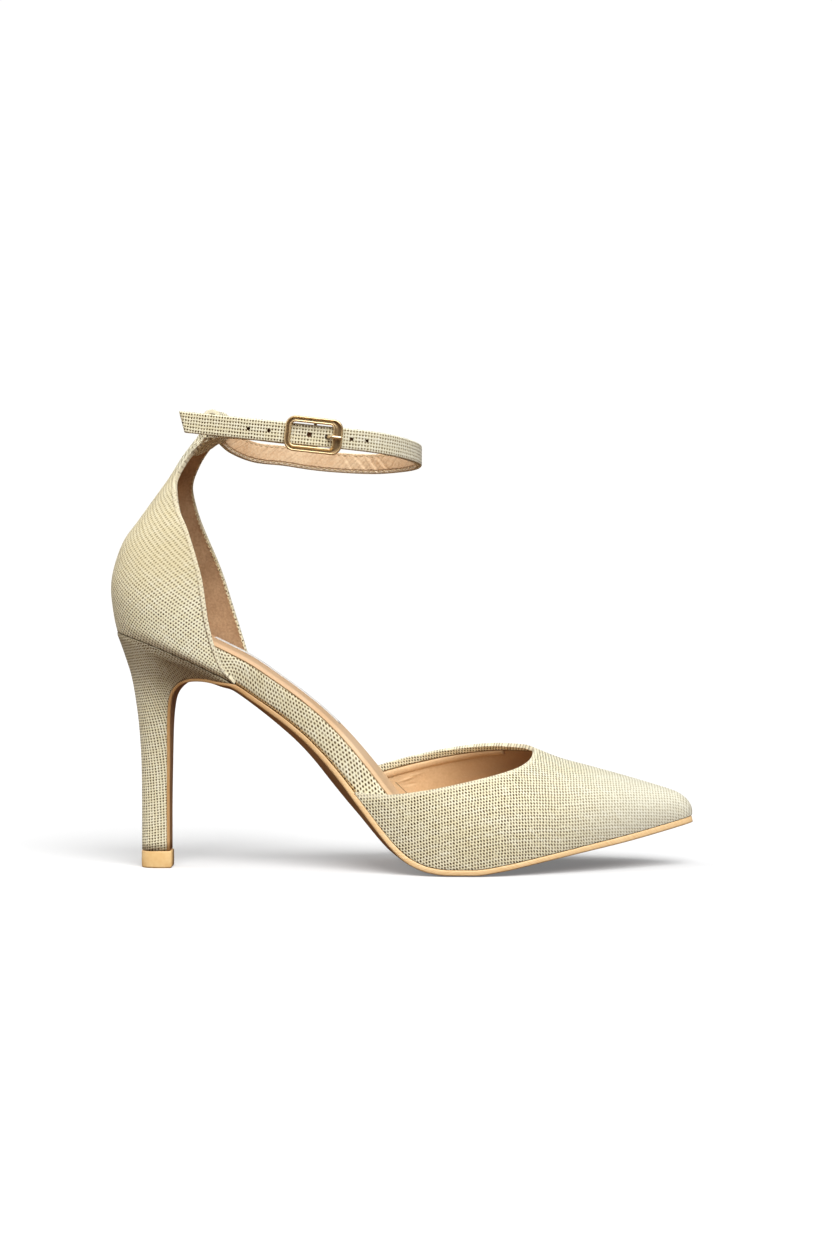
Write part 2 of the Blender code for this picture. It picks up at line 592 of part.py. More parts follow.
def hole_cutters(collection):
    """Round cutters for the free holes of the strap's tail, and a slot for the hole that the prong fills."""
    cutters = []
    line = smooth_path(STRAP_FRONT[:9], 12)
    for x, radius in TAIL_HOLES:
        row = min(range(len(line)), key=lambda i: abs(line[i][0] - x))
        ahead = Vector(line[row + 1] - line[row - 1]).normalized()
        out = ahead.cross(Vector((0, 0, 1))).normalized()
        bm = bmesh.new()
        bmesh.ops.create_cone(bm, cap_ends=True, segments=10, radius1=radius * MM, radius2=radius * MM,
                              depth=2.2 * STRAP_THICK * MM)
        bm.transform(Vector((0, 0, 1)).rotation_difference(out).to_matrix().to_4x4())
        bmesh.ops.translate(bm, verts=bm.verts, vec=Vector(line[row]) * MM)
        cutters.append(link("strap_hole_cutter", bm, "gold", collection))
    slot = loft(block_rings((4.2, 8.0), (-0.95, 0.95), (-1.25, 1.6)), ladder=False)
    cutters.append(link("prong_slot_cutter", slot, "gold", collection))
    chape = loft(block_rings((-4.4, 2.6), (-1.15, 1.15), (-5.9, -1.18)), ladder=False)
    cutters.append(link("chape_slot_cutter", chape, "gold", collection))
    return cutters


def main():
    for obj in list(bpy.data.objects):
        bpy.data.objects.remove(obj, do_unlink=True)
    parts = bpy.data.collections.new("stiletto_heel")
    tools = bpy.data.collections.new("cutters")
    bpy.context.scene.collection.children.link(parts)
    bpy.context.scene.collection.children.link(tools)

    thicken(link("vamp", sheet(vamp_rows(26, 20), True), "linen", parts), True)
    thicken(link("counter", sheet(counter_rows(10), False), "linen", parts), True)
    link("insole", loft(insole_rings()), "linen", parts)
    link("sock", loft(sock_rings()), "lining", parts, 0.5)
    link("outsole", loft(outsole_rings(6)), "sole", parts, 0.5)
    link("heel", loft(heel_rings(10)), "linen", parts)
    link("top_piece", loft(top_piece_rings(8)), "sole", parts, 0.5)
    strap = link("ankle_strap", loft(strap_rings(), ladder=False), "linen", parts)
    cut(strap, hole_cutters(tools))
    frame = loft(tube_rings(buckle_frame_path(), None, 8, True, (BUCKLE_BAR / 2, BUCKLE_DEPTH / 2)), True)
    buckle = link("buckle", frame, "gold", parts, 0.35, 1.0)
    bar_path = centre_bar_path()
    bar = loft(tube_rings(bar_path, [CENTRE_BAR_RADIUS] * len(bar_path), 8), ladder=False)
    cut(buckle, [link("centre_bar", bar, "gold", tools)], "UNION")
    path, radii = prong_path()
    link("prong", loft(tube_rings(path, radii, 8), ladder=False), "gold", parts, 0.35, 1.0)

    for obj in tools.objects:
        obj.hide_render = True
        obj.display_type = "WIRE"


main()
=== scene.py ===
"""Right-foot stiletto heel in natural linen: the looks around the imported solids.

Frame: +X to the toe, +Z up, -Y the outer side of the foot, Z = 0 the floor.
Tables and sizes are in millimetres, and the meshes are written in metres.
"""
import math

import bmesh
import bpy
import numpy as np
from mathutils import Matrix, Vector


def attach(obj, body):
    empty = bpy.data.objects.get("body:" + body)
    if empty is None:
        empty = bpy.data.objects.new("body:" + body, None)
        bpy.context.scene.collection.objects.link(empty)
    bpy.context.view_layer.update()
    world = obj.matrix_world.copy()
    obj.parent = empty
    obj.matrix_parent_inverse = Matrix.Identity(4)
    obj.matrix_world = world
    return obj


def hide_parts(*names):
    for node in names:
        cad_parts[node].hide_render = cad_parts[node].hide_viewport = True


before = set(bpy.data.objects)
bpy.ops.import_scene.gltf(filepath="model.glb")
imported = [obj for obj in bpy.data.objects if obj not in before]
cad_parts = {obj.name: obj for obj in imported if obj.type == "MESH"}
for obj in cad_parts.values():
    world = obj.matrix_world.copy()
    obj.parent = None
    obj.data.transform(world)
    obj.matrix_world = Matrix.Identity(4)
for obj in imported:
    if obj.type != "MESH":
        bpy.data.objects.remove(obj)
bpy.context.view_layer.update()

# Sizes of the pieces, most of them those of the solids
MM = 0.001
WALL = 1.6
GAP = 0.3
TOE_X = 113.5
TOE_Y = 6.0
THROAT_X = 51.2
SEAT_FRONT_X = -64.0
WAIST_INSET = 1.6
INSOLE_INSET = WALL + 0.8
INSOLE_SWELL = 0.65
SOCK_THICK = 0.9
SOCK_MARGIN = 3.4
TOP_PIECE_HEIGHT = 6.6
FLAP_THICK = 1.2
FLAP_ROOT = (2.8, 2.3)
SEAT_GAP = 0.2
SEAT_TUCK = 1.0
SEAT_TUCK_REACH = 6.0
HEEL_TUCK = 1.3
FLAP_GAP = 0.06
STRAP_WIDTH = 8.0
STRAP_THICK = 2.0
CHAPE_THICK = 1.2
BUCKLE_LENGTH = 21.5
BUCKLE_HEIGHT = 13.0
BUCKLE_CORNER = 3.0
BUCKLE_BAR = 1.5
BUCKLE_DEPTH = 1.6
CENTRE_BAR_RADIUS = 0.6
PRONG_RADIUS = 0.68
CLOSE = 0.15
TAIL_SLANT = 2.3
TAIL_POINT = 1.0
BUCKLE_X = -33.6
BUCKLE_Z = 166.2
STRAP_SLOPE = math.radians(6.2)
TAIL_Y = -27.5

# Photograph's frame: millimetres to a pixel at the shoe's middle, and where the camera stands
PHOTO_HEIGHT = 1248
PIXEL = 0.39
CAMERA_AWAY = 900.0
CAMERA_X = 5.0
CAMERA_Z = 104.1
CAMERA_DROP = 24 * PIXEL
SENSOR = 36.0

# How far the heel's rows of weave climb towards the front
HEEL_CLIMB = 0.16

# Turned edges of the cloth: the fold's width, its seam's place and half width, the step of its slanted ticks,
# and the heights between which the seam fades
FOLD_WIDTH = 1.8
SEAM_AT = 2.0
SEAM_HALF = 0.36
TICK_STEP = 1.5
SEAM_FADES = (88.0, 118.0)

# Painted light: x along the toe and along the strap over which the pits fade and the cloth turns cooler, as
# on tops lit from above; z up the counter's neck, where the pits fade and the cloth turns golden, z where the
# tab opens again, and how much painted light there is at the toe and how far the pits fade at the neck
TOE_PAINTED_LIGHT_X = (42.0, 92.0)
STRAP_PAINTED_LIGHT_X = (-50.0, 30.0)
CLOSE_NECK = (94.0, 122.0)
TAB_OPENS = (152.0, 158.0)
TOE_PAINTED_LIGHT = 0.55
NECK_CLOSING = 0.5

# Painted shade under the heel seat: the seat's height at x = 0 and its fall, and the painted shade's reach
# below it
SEAT_LINE = (40.7, 0.465)
SEAT_SHADE_REACH = (3.0, 26.0)

# Where painted shade darkens the sock and the sole's edge towards the heel, by x, and how much
SOCK_SHADE = (-42.0, -14.0)
SOCK_SHADE_SHARE = 0.3
EDGE_SHADE_X = (-80.0, 10.0)
EDGE_SHADE_SHARE = 0.6


class Weave:
    """A cloth: the repeat of its holes along and up, the climb of its rows, a hole's half width and half
    height, whether each column sits half a step from the next, and between which x painted light fades the
    holes and cools the cloth."""

    def __init__(self, along, up, climb, hole_wide, hole_high, staggered, painted_light_x=TOE_PAINTED_LIGHT_X):
        self.step = 2 * along if staggered else along
        self.up = up
        self.climb = climb
        self.hole_wide = hole_wide
        self.hole_high = hole_high
        self.staggered = staggered
        self.painted_light_x = painted_light_x

    def count(self, along, up):
        """Places on the cloth, counted in repeats."""
        return pair(along / self.step, (up + self.climb * along) / self.up)


VAMP_WEAVE = Weave(1.13, 1.22, 0.0, 0.35, 0.44, True)
COUNTER_WEAVE = Weave(1.04, 1.49, -0.06, 0.36, 0.35, True)
FOOTBED_WEAVE = Weave(1.02, 1.30, 0.306, 0.33, 0.37, True)
HEEL_WEAVE = Weave(1.16, 1.08, 0.0, 0.32, 0.35, False)
STRAP_WEAVE = Weave(1.13, 1.25, 0.0, 0.34, 0.37, False, STRAP_PAINTED_LIGHT_X)


class Table:
    """Rows with named columns, read at any x by a smooth curve that never overshoots a row."""

    def __init__(self, names, rows):
        self.names = names.split()
        self.data = np.array(sorted(rows), float)
        self.x = self.data[:, 0]
        self.tangents = [self.column_tangents(i) for i in range(len(self.names))]

    def column_tangents(self, i):
        step = np.diff(self.x)
        slope = np.diff(self.data[:, i]) / step
        tangent = np.zeros(len(self.x))
        tangent[0] = slope[0]
        tangent[-1] = slope[-1]
        for k in range(1, len(self.x) - 1):
            if slope[k - 1] * slope[k] > 0:
                before = 2 * step[k] + step[k - 1]
                after = step[k] + 2 * step[k - 1]
                tangent[k] = (before + after) / (before / slope[k - 1] + after / slope[k])
        return tangent

    def at(self, name, x):
        i = self.names.index(name)
        x = np.clip(x, self.x[0], self.x[-1])
        k = np.clip(np.searchsorted(self.x, x, side="right") - 1, 0, len(self.x) - 2)
        h = self.x[k + 1] - self.x[k]
        t = (x - self.x[k]) / h
        start, end = self.data[k, i], self.data[k + 1, i]
        leave, arrive = self.tangents[i][k] * h, self.tangents[i][k + 1] * h
        rise = 3 * t**2 - 2 * t**3
        return (1 - rise) * start + rise * end + (t**3 - 2 * t**2 + t) * leave + (t**3 - t**2) * arrive


# Plan outline of the foot's edge: distance from Y = 0 to the outer and the inner side
OUTLINE = Table("x lat med", [
    (-111.5, 0.4, 0.4), (-110.6, 6.2, 6.2), (-108.0, 11.8, 11.8), (-103.0, 17.8, 17.8), (-97.0, 21.3, 21.3),
    (-90.0, 23.5, 23.5), (-81.0, 24.3, 24.3), (-72.0, 23.4, 23.2), (-64.0, 22.0, 21.4), (-54.0, 20.6, 19.4),
    (-44.0, 20.2, 18.8), (-34.0, 20.9, 19.8), (-24.0, 22.8, 22.8), (-14.0, 25.6, 26.4), (-4.0, 28.9, 30.0),
    (6.0, 32.2, 33.0), (16.0, 34.6, 34.8), (26.0, 35.1, 35.4), (36.0, 33.9, 34.9), (46.0, 31.2, 33.3),
    (58.0, 26.6, 30.6), (70.0, 21.2, 27.3), (82.0, 15.3, 23.5), (92.0, 10.0, 20.0), (101.0, 5.2, 16.6),
    (107.0, 1.9, 13.8), (110.5, -0.3, 11.8), (112.3, -2.2, 9.8), (113.2, -4.2, 7.8),
    (TOE_X, -TOE_Y + 0.5, TOE_Y + 0.5)])

# Height of the top of the sole and of the heel seat
BED = Table("x z", [
    (-112.0, 92.2), (-97.0, 87.1), (-85.0, 82.2), (-75.0, 77.5), (-64.0, 71.8), (-56.0, 66.4), (-46.0, 59.2),
    (-38.0, 52.6), (-30.0, 44.6), (-22.0, 35.2), (-15.0, 26.2), (-8.0, 17.2), (-2.0, 10.4), (4.0, 5.8),
    (10.0, 3.5), (17.0, 2.6), (27.0, 2.6), (37.0, 3.9), (52.0, 6.8), (69.0, 10.2), (88.0, 13.9),
    (102.0, 17.0), (TOE_X, 19.7)])

# Sole thickness at its edge and under its middle, where the waist is crowned
SOLE = Table("x edge centre", [
    (-64.0, 1.7, 3.2), (-57.0, 1.8, 3.4), (-46.0, 1.8, 4.1), (-34.0, 1.8, 4.7), (-22.0, 1.9, 5.4),
    (-11.0, 2.0, 4.6), (-5.0, 2.0, 4.4), (3.0, 2.2, 3.6), (10.0, 2.2, 3.1), (17.0, 2.2, 2.6),
    (27.0, 2.2, 2.6), (52.0, 2.1, 2.4), (88.0, 2.4, 2.5), (TOE_X, 2.4, 2.4)])

# Footbed thickness along the foot
FOOTBED = Table("x thick", [
    (-112.0, 9.4), (-60.0, 9.5), (-6.0, 9.6), (12.0, 7.0), (40.0, 4.8), (TOE_X, 3.4)])

# Ridge of the vamp: height, sideways place, and how far the side walls belly out
CREST = Table("x z y belly", [
    (-25.0, 83.0, 2.0, 1.4), (-6.0, 72.0, 2.2, 2.0), (10.0, 63.5, 2.5, 2.4), (25.0, 56.6, 2.8, 2.6),
    (40.0, 50.9, 3.2, 2.6), (THROAT_X, 46.4, 3.5, 2.5), (61.3, 42.4, 3.9, 2.4), (73.0, 39.2, 4.4, 2.1),
    (85.0, 35.9, 4.9, 1.8), (98.5, 31.9, 5.5, 1.2), (104.0, 30.2, 5.7, 0.9), (107.6, 28.8, 5.8, 0.6),
    (110.0, 27.3, 5.9, 0.4), (112.0, 25.3, 6.0, 0.2), (113.0, 23.6, 6.0, 0.1), (TOE_X, 22.2, 6.0, 0.0)])

# Vamp's top edge, outer side and inner side, from the sole's edge up to the throat
TOPLINE_LAT = Table("x z", [
    (-18.5, 31.0), (-12.0, 30.6), (-6.3, 30.5), (8.0, 32.2), (18.5, 34.2), (29.0, 36.4), (38.8, 38.7),
    (44.8, 40.6), (49.3, 43.4), (THROAT_X, 46.4)])
TOPLINE_MED = Table("x z", [
    (-22.0, 35.5), (-16.0, 36.3), (-11.0, 37.5), (-5.5, 39.1), (6.6, 42.2), (18.7, 44.8), (30.7, 46.7),
    (39.3, 47.3), (48.3, 47.2), (THROAT_X, 46.4)])

# Breast of the heel from the waist down (x z), the flap's half width there, the back of the heel (x z) at
# that level, and the heel's widest half width
BREAST = [
    (-66.4, 72.3, 21.3, -111.4, 91.3, 21.7), (-70.0, 72.8, 20.5, -111.1, 90.2, 20.8),
    (-75.6, 73.9, 19.0, -110.4, 88.4, 19.3), (-80.7, 74.0, 17.0, -109.6, 86.2, 17.7),
    (-84.7, 73.0, 14.9, -108.6, 83.4, 16.1), (-87.5, 71.1, 13.0, -107.4, 79.8, 14.3),
    (-89.6, 68.2, 11.6, -105.9, 74.8, 12.5), (-90.7, 64.0, 10.0, -104.6, 68.0, 10.8),
    (-91.3, 56.0, 8.0, -103.1, 56.8, 8.8), (-91.5, 42.0, 6.4, -102.1, 42.0, 7.0),
    (-91.7, 26.0, 5.6, -101.9, 26.0, 6.0), (-91.7, 6.9, 5.2, -101.9, 6.9, 5.6)]

# Counter from the seat up to the tab and over its fold: the spine at the back, the front edge, how far the
# inner side runs ahead of the outer, the half width, and the reach of the round back (0 on the flat tab)
COUNTER_COLUMNS = "back_x back_z front_x front_z twist wide reach"
COUNTER = [
    (-111.6, 92.4, -60.9, 70.3, 3.3, 24.3, 31.0), (-112.5, 97.6, -63.9, 76.6, 3.6, 25.0, 31.0),
    (-113.3, 103.0, -66.7, 84.4, 4.1, 25.4, 31.0), (-113.7, 108.2, -69.5, 93.9, 3.9, 25.6, 31.0),
    (-113.2, 114.0, -71.6, 102.7, 3.2, 25.4, 31.0), (-111.3, 121.0, -73.7, 111.8, 2.5, 24.6, 30.0),
    (-108.3, 128.0, -76.3, 120.0, 2.1, 23.4, 28.0), (-103.7, 134.2, -80.3, 130.8, 1.6, 21.2, 22.0),
    (-99.5, 140.0, -83.3, 138.3, 1.9, 18.9, 17.0), (-95.4, 145.6, -85.2, 146.3, 1.9, 16.8, 13.0),
    (-91.0, 151.8, -85.2, 152.0, 2.1, 13.9, 10.5), (-86.4, 159.4, -81.4, 159.3, 2.0, 10.2, 9.0),
    (-82.2, 165.0, -76.7, 164.8, 1.6, 7.9, 8.0), (-80.7, 166.7, -75.6, 166.7, 1.2, 7.3, 0.0),
    (-78.6, 169.6, -76.6, 169.6, 1.3, 6.8, 0.0), (-77.6, 173.4, -76.8, 173.4, 1.2, 6.5, 0.0),
    (-77.1, 175.5, -76.3, 175.5, 1.2, 6.5, 0.0), (-75.8, 177.2, -75.0, 177.2, 1.2, 6.5, 0.0),
    (-73.7, 177.9, -72.9, 177.9, 1.2, 6.5, 0.0), (-71.5, 177.2, -70.7, 177.2, 1.2, 6.5, 0.0),
    (-70.2, 175.5, -69.4, 175.5, 1.2, 6.5, 0.0), (-69.8, 171.5, -69.0, 171.5, 1.2, 6.4, 0.0),
    (-71.2, 167.2, -70.2, 167.2, 1.3, 6.3, 0.0), (-74.8, 165.2, -73.4, 165.7, 1.9, 6.1, 0.0),
    (-78.6, 162.9, -75.9, 164.6, 2.5, 5.9, 0.0), (-81.2, 160.2, -77.3, 163.4, 2.3, 5.8, 0.0)]
COUNTER_TAB_ROW = 13

# Distances of the counter's columns from its front edge, for the turned fold, and the column that is stitched
NEAR_EDGE = np.array([0.0, 0.3, 0.6, 0.9, 1.15, 1.35, 1.55, 1.8, 2.2])
STITCH_COLUMN = 3

# Points inside the vamp and the counter, to tell their inner side
VAMP_INSIDE = (0.0, 0.0, 30.0)
COUNTER_INSIDE = (-80.0, 0.0, 110.0)

# Stitches: length, gap between them, and the thread's radius
COUNTER_STITCH = (1.2, 0.8, 0.24)
STRAP_STITCH = (1.5, 0.8, 0.17)

# Footbed's back end, by x: where its outline is drawn forward, where it swells, where the counter hides it
FOOTBED_SHIFTS = (-105.0, -85.0)
FOOTBED_SWELLS = (-108.0, -94.0)
FOOTBED_HIDES = (-72.0, -66.0)

# Bare waist of the sole, by x: where it starts before the seat and where it ends behind the ball
WAIST_BACK = (-67.0, -61.0)
WAIST_FRONT = (-23.0, -16.0)

# Heel's cloth: the line (z, x) over which its rows turn down, and the heights over which the flare does so
ROWS_TURN = ((64.0, 70.0, 85.0), (-90.5, -91.5, -94.5))
FLARE_STARTS = (60.0, 72.0)

# Heel's seat (back x and z, front x, widest and front half widths) and the top piece's plan (back and front
# x, widest and front half widths)
HEEL_SEAT = (-111.5, 91.8, SEAT_FRONT_X - 2.6, 24.2, 22.0)
TIP_PLAN = (-102.0, -90.0, 5.7, 5.3)

# Strap lining: where it starts, the step along it, its half width, its stitches' distance from the middle,
# and its creases (place along the strap, lean, depth)
LINING_START = 4.0
LINING_STEP = 0.55
LINING_HALF = 3.85
STITCHES_AT = 3.0
LINING_CREASES = [(136.0, 0.9, 0.26), (140.5, 0.8, 0.30), (145.5, 1.0, 0.26), (151.0, 0.7, 0.18)]

# Inside the vamp: width of the turned-in linen, the line of the low seam, where painted shade darkens the
# lining towards the toe, its creases (middle x and z, lean, reach, depth), and the padded roll's end, place
# and half sizes
LINEN_TURN = 2.7
LINING_SEAM = 27.5
TOE_SHADE = (2.0, 56.0)
VAMP_CREASES = [(1.5, 31.9, 0.30, 3.0, 0.9), (4.6, 33.6, 0.25, 2.6, 0.7), (3.0, 29.9, 0.15, 2.4, -0.5)]
ROLL_END_X = 40.5
ROLL_FROM_EDGE = 4.5
ROLL_SIZE = (1.5, 0.75)

# Free holes of the tail: x along the strap, and radius
TAIL_HOLES = [(-58.2, 0.65), (-50.5, 0.7), (-35.1, 0.95), (-19.7, 0.65), (-13.7, 0.58)]

# Middle of the strap (x y z): the tail, the ankle's front, the inner side, the tab, and back to the buckle
STRAP_FRONT = [
    (-84.8, -17.3, 172.2), (-75.0, -20.2, 171.0), (-63.0, -23.6, 169.5), (-52.0, -26.4, 168.2),
    (-44.0, TAIL_Y, 167.3), (-22.0, TAIL_Y, 165.0), (-10.6, -24.8, 163.8), (-2.0, -18.6, 162.5),
    (4.0, -10.0, 161.2), (6.3, 0.0, 160.2), (4.2, 10.0, 159.3), (-2.0, 18.6, 158.8), (-11.4, 24.2, 158.5),
    (-23.6, 27.6, 159.1), (-35.7, 28.4, 160.2), (-47.6, 26.4, 161.9), (-59.0, 21.2, 162.9),
    (-67.4, 13.8, 166.0), (-72.2, 6.9, 170.1), (-74.0, 0.0, 170.9), (-74.5, -6.9, 170.7),
    (-71.4, -13.8, 170.1), (-63.6, -19.0, 169.5), (-55.0, -21.6, 168.7)]


def srgb(red, green, blue):
    """A colour as it shows on a screen, 0 to 255, as the light that Blender works with."""
    parts = [value / 255 for value in (red, green, blue)]
    return tuple(p / 12.92 if p <= 0.04045 else ((p + 0.055) / 1.055) ** 2.4 for p in parts) + (1.0,)


class Value:
    """A number on a surface, so that shader maths reads as arithmetic."""

    def __init__(self, finish, socket):
        self.finish = finish
        self.socket = socket

    def other(self, output):
        return Value(self.finish, self.socket.node.outputs[output])

    def __add__(self, other):
        return self.finish.math("ADD", self, other)

    def __sub__(self, other):
        return self.finish.math("SUBTRACT", self, other)

    def __mul__(self, other):
        return self.finish.math("MULTIPLY", self, other)

    def __truediv__(self, other):
        return self.finish.math("DIVIDE", self, other)

    def __pow__(self, other):
        return self.finish.math("POWER", self, other)

    def __rsub__(self, other):
        return self.finish.math("SUBTRACT", other, self)

    def __abs__(self):
        return self.finish.math("ABSOLUTE", self)

    __radd__ = __add__
    __rmul__ = __mul__


class Finish:
    """One surface finish: a material and the nodes that feed its shader."""

    def __init__(self, name, **constants):
        self.material = bpy.data.materials.new(name)
        self.material.use_nodes = True
        self.tree = self.material.node_tree
        self.shader = self.tree.nodes["Principled BSDF"]
        for socket, value in constants.items():
            self.shader.inputs[socket.replace("_", " ")].default_value = value

    def node(self, kind, settings=None, inputs=None, output=0):
        made = self.tree.nodes.new(kind)
        for name, value in (settings or {}).items():
            setattr(made, name, value)
        for name, value in (inputs or {}).items():
            if isinstance(value, Value):
                self.tree.links.new(value.socket, made.inputs[name])
            else:
                made.inputs[name].default_value = value
        return Value(self, made.outputs[output])

    def math(self, operation, *values):
        return self.node("ShaderNodeMath", {"operation": operation}, dict(enumerate(values)))

    def ease(self, value, low, high):
        """0 below low, 1 above high, and a soft step between."""
        return self.node("ShaderNodeMapRange", {"interpolation_type": "SMOOTHSTEP"},
                         {"Value": value, "From Min": low, "From Max": high})

    def band(self, value, middle, half):
        """1 along a soft line at the middle, 0 away from it."""
        return 1 - self.ease(abs(value - middle), half * 0.4, half)

    def mix(self, share, first, second):
        return self.node("ShaderNodeMix", {"data_type": "RGBA"}, {0: share, 6: first, 7: second}, 2)

    def uv(self, name):
        """The piece's own map, as its two numbers."""
        place = self.node("ShaderNodeUVMap", {"uv_map": name})
        first = self.node("ShaderNodeSeparateXYZ", {}, {"Vector": place})
        return first, first.other("Y")

    def vector(self, x, y, z=0.0):
        return self.node("ShaderNodeCombineXYZ", {}, {"X": x, "Y": y, "Z": z})

    def object_place(self):
        return self.node("ShaderNodeTexCoord", output="Object")

    def millimetres(self):
        """The shoe's own x and z, in millimetres."""
        x = self.node("ShaderNodeSeparateXYZ", {}, {"Vector": self.object_place()})
        return x / MM, x.other("Z") / MM

    def noise(self, place, scale, detail=2.0, roughness=0.5):
        return self.node("ShaderNodeTexNoise", {}, {
            "Vector": place, "Scale": scale, "Detail": detail, "Roughness": roughness})

    def scatter(self, number):
        """A fixed random number from 0 to 1 for each whole number."""
        return self.node("ShaderNodeTexWhiteNoise", {"noise_dimensions": "1D"}, {"W": number})

    def paint(self, colour, roughness=None, glow=None):
        for socket, value in (("Base Color", colour), ("Roughness", roughness), ("Emission Color", glow)):
            if value is not None:
                self.tree.links.new(value.socket, self.shader.inputs[socket])

    def relief(self, height, distance, strength=1.0):
        """Bump of the given depth in millimetres."""
        bump = self.node("ShaderNodeBump", {}, {
            "Height": height, "Distance": distance * MM, "Strength": strength})
        self.tree.links.new(bump.socket, self.shader.inputs["Normal"])


# Colours of the finishes, as they show in plain light
LINEN_LIGHT = srgb(251, 249, 228)
LINEN_MID = srgb(239, 232, 199)
LINEN_SHADE = srgb(204, 187, 142)
LINEN_PAINTED_LIGHT = srgb(216, 218, 210)
LINEN_PAINTED_SHADE = srgb(112, 88, 56)
LINEN_FLANK = srgb(186, 162, 94)
LINEN_PIT = srgb(62, 38, 10)
FOLD_CREAM = srgb(238, 229, 202)
SEAM_DARK = srgb(112, 88, 58)
LINING_TAN = srgb(232, 198, 154)
LINING_DEEP = srgb(210, 172, 128)
LINING_SHADE = srgb(120, 80, 48)
STRAP_TAN = srgb(243, 214, 176)
STRAP_DEEP = srgb(216, 176, 134)
STRAP_PALE = srgb(244, 226, 198)
SEAM_TAN = srgb(128, 86, 50)
COUNTER_TAN = srgb(208, 172, 134)
COUNTER_DEEP = srgb(160, 124, 90)
SOCK_TAN = srgb(236, 205, 168)
SOCK_DEEP = srgb(224, 188, 146)
SOCK_PAINTED_SHADE = srgb(180, 130, 82)
EDGE_TAN = srgb(246, 214, 165)
EDGE_DEEP = srgb(230, 188, 130)
EDGE_PAINTED_SHADE = srgb(172, 116, 52)
UNDER_BROWN = srgb(190, 146, 102)
UNDER_DEEP = srgb(156, 114, 76)
TIP_TAN = srgb(250, 216, 156)
TIP_DEEP = srgb(238, 196, 132)
GOLD_BRIGHT = srgb(230, 202, 154)
GOLD_DEEP = srgb(84, 56, 26)
PRONG_BRIGHT = srgb(238, 216, 178)
THREAD_CREAM = srgb(236, 214, 174)
LABEL_WHITE = srgb(248, 247, 244)
LABEL_SHADE = srgb(228, 226, 222)
HOLE_BROWN = srgb(58, 40, 24)
FLOOR_DULL = srgb(219, 219, 219)
FLOOR_WHITE = srgb(222, 222, 222)
FLOOR_BOUNCE = srgb(100, 74, 52)
FLOOR_GLOW = (0.19, 0.19, 0.19, 1.0)
NO_GLOW = (0.0, 0.0, 0.0, 1.0)
BACKDROP = (1.0, 0.985, 0.965, 1.0)

# How far a thread wanders from its place, in repeats of the weave, and the soft edges of a hole's dark pit
# and of the golden flank round it, as squared distances in hole widths
THREAD_WANDER = 0.36
PIT_EDGE = (0.30, 1.40)
FLANK_EDGE = (0.5, 2.8)


def linen_weave(finish, weave):
    """Colour and height of the woven linen, read from the piece's count of repeats."""
    column, row = finish.uv("weave")
    place = finish.vector(column, row)
    column = column + (finish.noise(place, 0.4, 3.0) - 0.5) * THREAD_WANDER
    row = row + (finish.noise(finish.vector(row, column, 7.0), 0.4, 3.0) - 0.5) * THREAD_WANDER
    u = column + row if weave.staggered else column
    v = column - row if weave.staggered else row

    def from_hole(shift):
        aside = column + shift - finish.math("FLOOR", column + (shift + 0.5))
        above = row + shift - finish.math("FLOOR", row + (shift + 0.5))
        return (aside * (weave.step / weave.hole_wide)) ** 2.0 + (above * (weave.up / weave.hole_high)) ** 2.0

    near = from_hole(0.0)
    if weave.staggered:
        near = finish.math("MINIMUM", near, from_hole(0.5))
    hole = 1 - finish.ease(near, *PIT_EDGE)
    warp_round = abs(finish.math("SINE", u * math.pi))
    weft_round = abs(finish.math("SINE", v * math.pi))
    height = (warp_round * weft_round) ** 0.5
    slub = finish.noise(finish.vector(u * 0.9, v * 0.13), 1.0, 3.0) - 0.5
    thread = finish.scatter(finish.math("FLOOR", v)) - 0.5
    cloud = finish.noise(place, 0.06, 3.0) - 0.5
    tone = height * 0.08 + thread * 0.16 + slub * 0.70 + cloud * 0.45 + 0.57
    dull = finish.mix(finish.ease(tone, 0.05, 0.50), LINEN_SHADE, LINEN_MID)
    lit = finish.mix(finish.ease(tone, 0.45, 0.95), dull, LINEN_LIGHT)
    depth = finish.ease(finish.noise(finish.vector(u, v, 3.0), 1.2, 2.0), 0.25, 0.55) * 0.65 + 0.35
    x, level = finish.millimetres()
    # Painted light: towards the toe and the strap's front the pits fade and the cloth turns cooler, as on a
    # top lit from above; up the counter's neck the pits fade and the cloth turns golden
    toe = finish.ease(x, *weave.painted_light_x) * TOE_PAINTED_LIGHT
    neck = finish.ease(level, *CLOSE_NECK) * (1 - finish.ease(level, *TAB_OPENS)) * NECK_CLOSING
    closing_and_painted_light = toe + neck
    hole = hole * (1 - closing_and_painted_light)
    lit = finish.mix(toe, lit, LINEN_PAINTED_LIGHT)
    lit = finish.mix(neck, lit, LINEN_SHADE)
    flank = (1 - finish.ease(near, *FLANK_EDGE)) * depth * (1 - closing_and_painted_light * 0.6)
    colour = finish.mix(flank * 0.5, lit, LINEN_FLANK)
    colour = finish.mix(hole * depth, colour, LINEN_PIT)
    return colour, height * 0.6 - hole * 0.7


def plain_linen(name, weave, painted_shade=0.0):
    """Linen on its own; painted_shade darkens it with painted shade close under the line of the heel seat."""
    finish = Finish(name, Roughness=0.86, Sheen_Weight=0.12, Specular_IOR_Level=0.25)
    colour, height = linen_weave(finish, weave)
    x, level = finish.millimetres()
    seat, fall = SEAT_LINE
    below = seat - fall * x - level
    finish.paint(finish.mix((1 - finish.ease(below, *SEAT_SHADE_REACH)) * painted_shade, colour, LINEN_PAINTED_SHADE))
    finish.relief(height, 0.30, 0.45)
    return finish.material


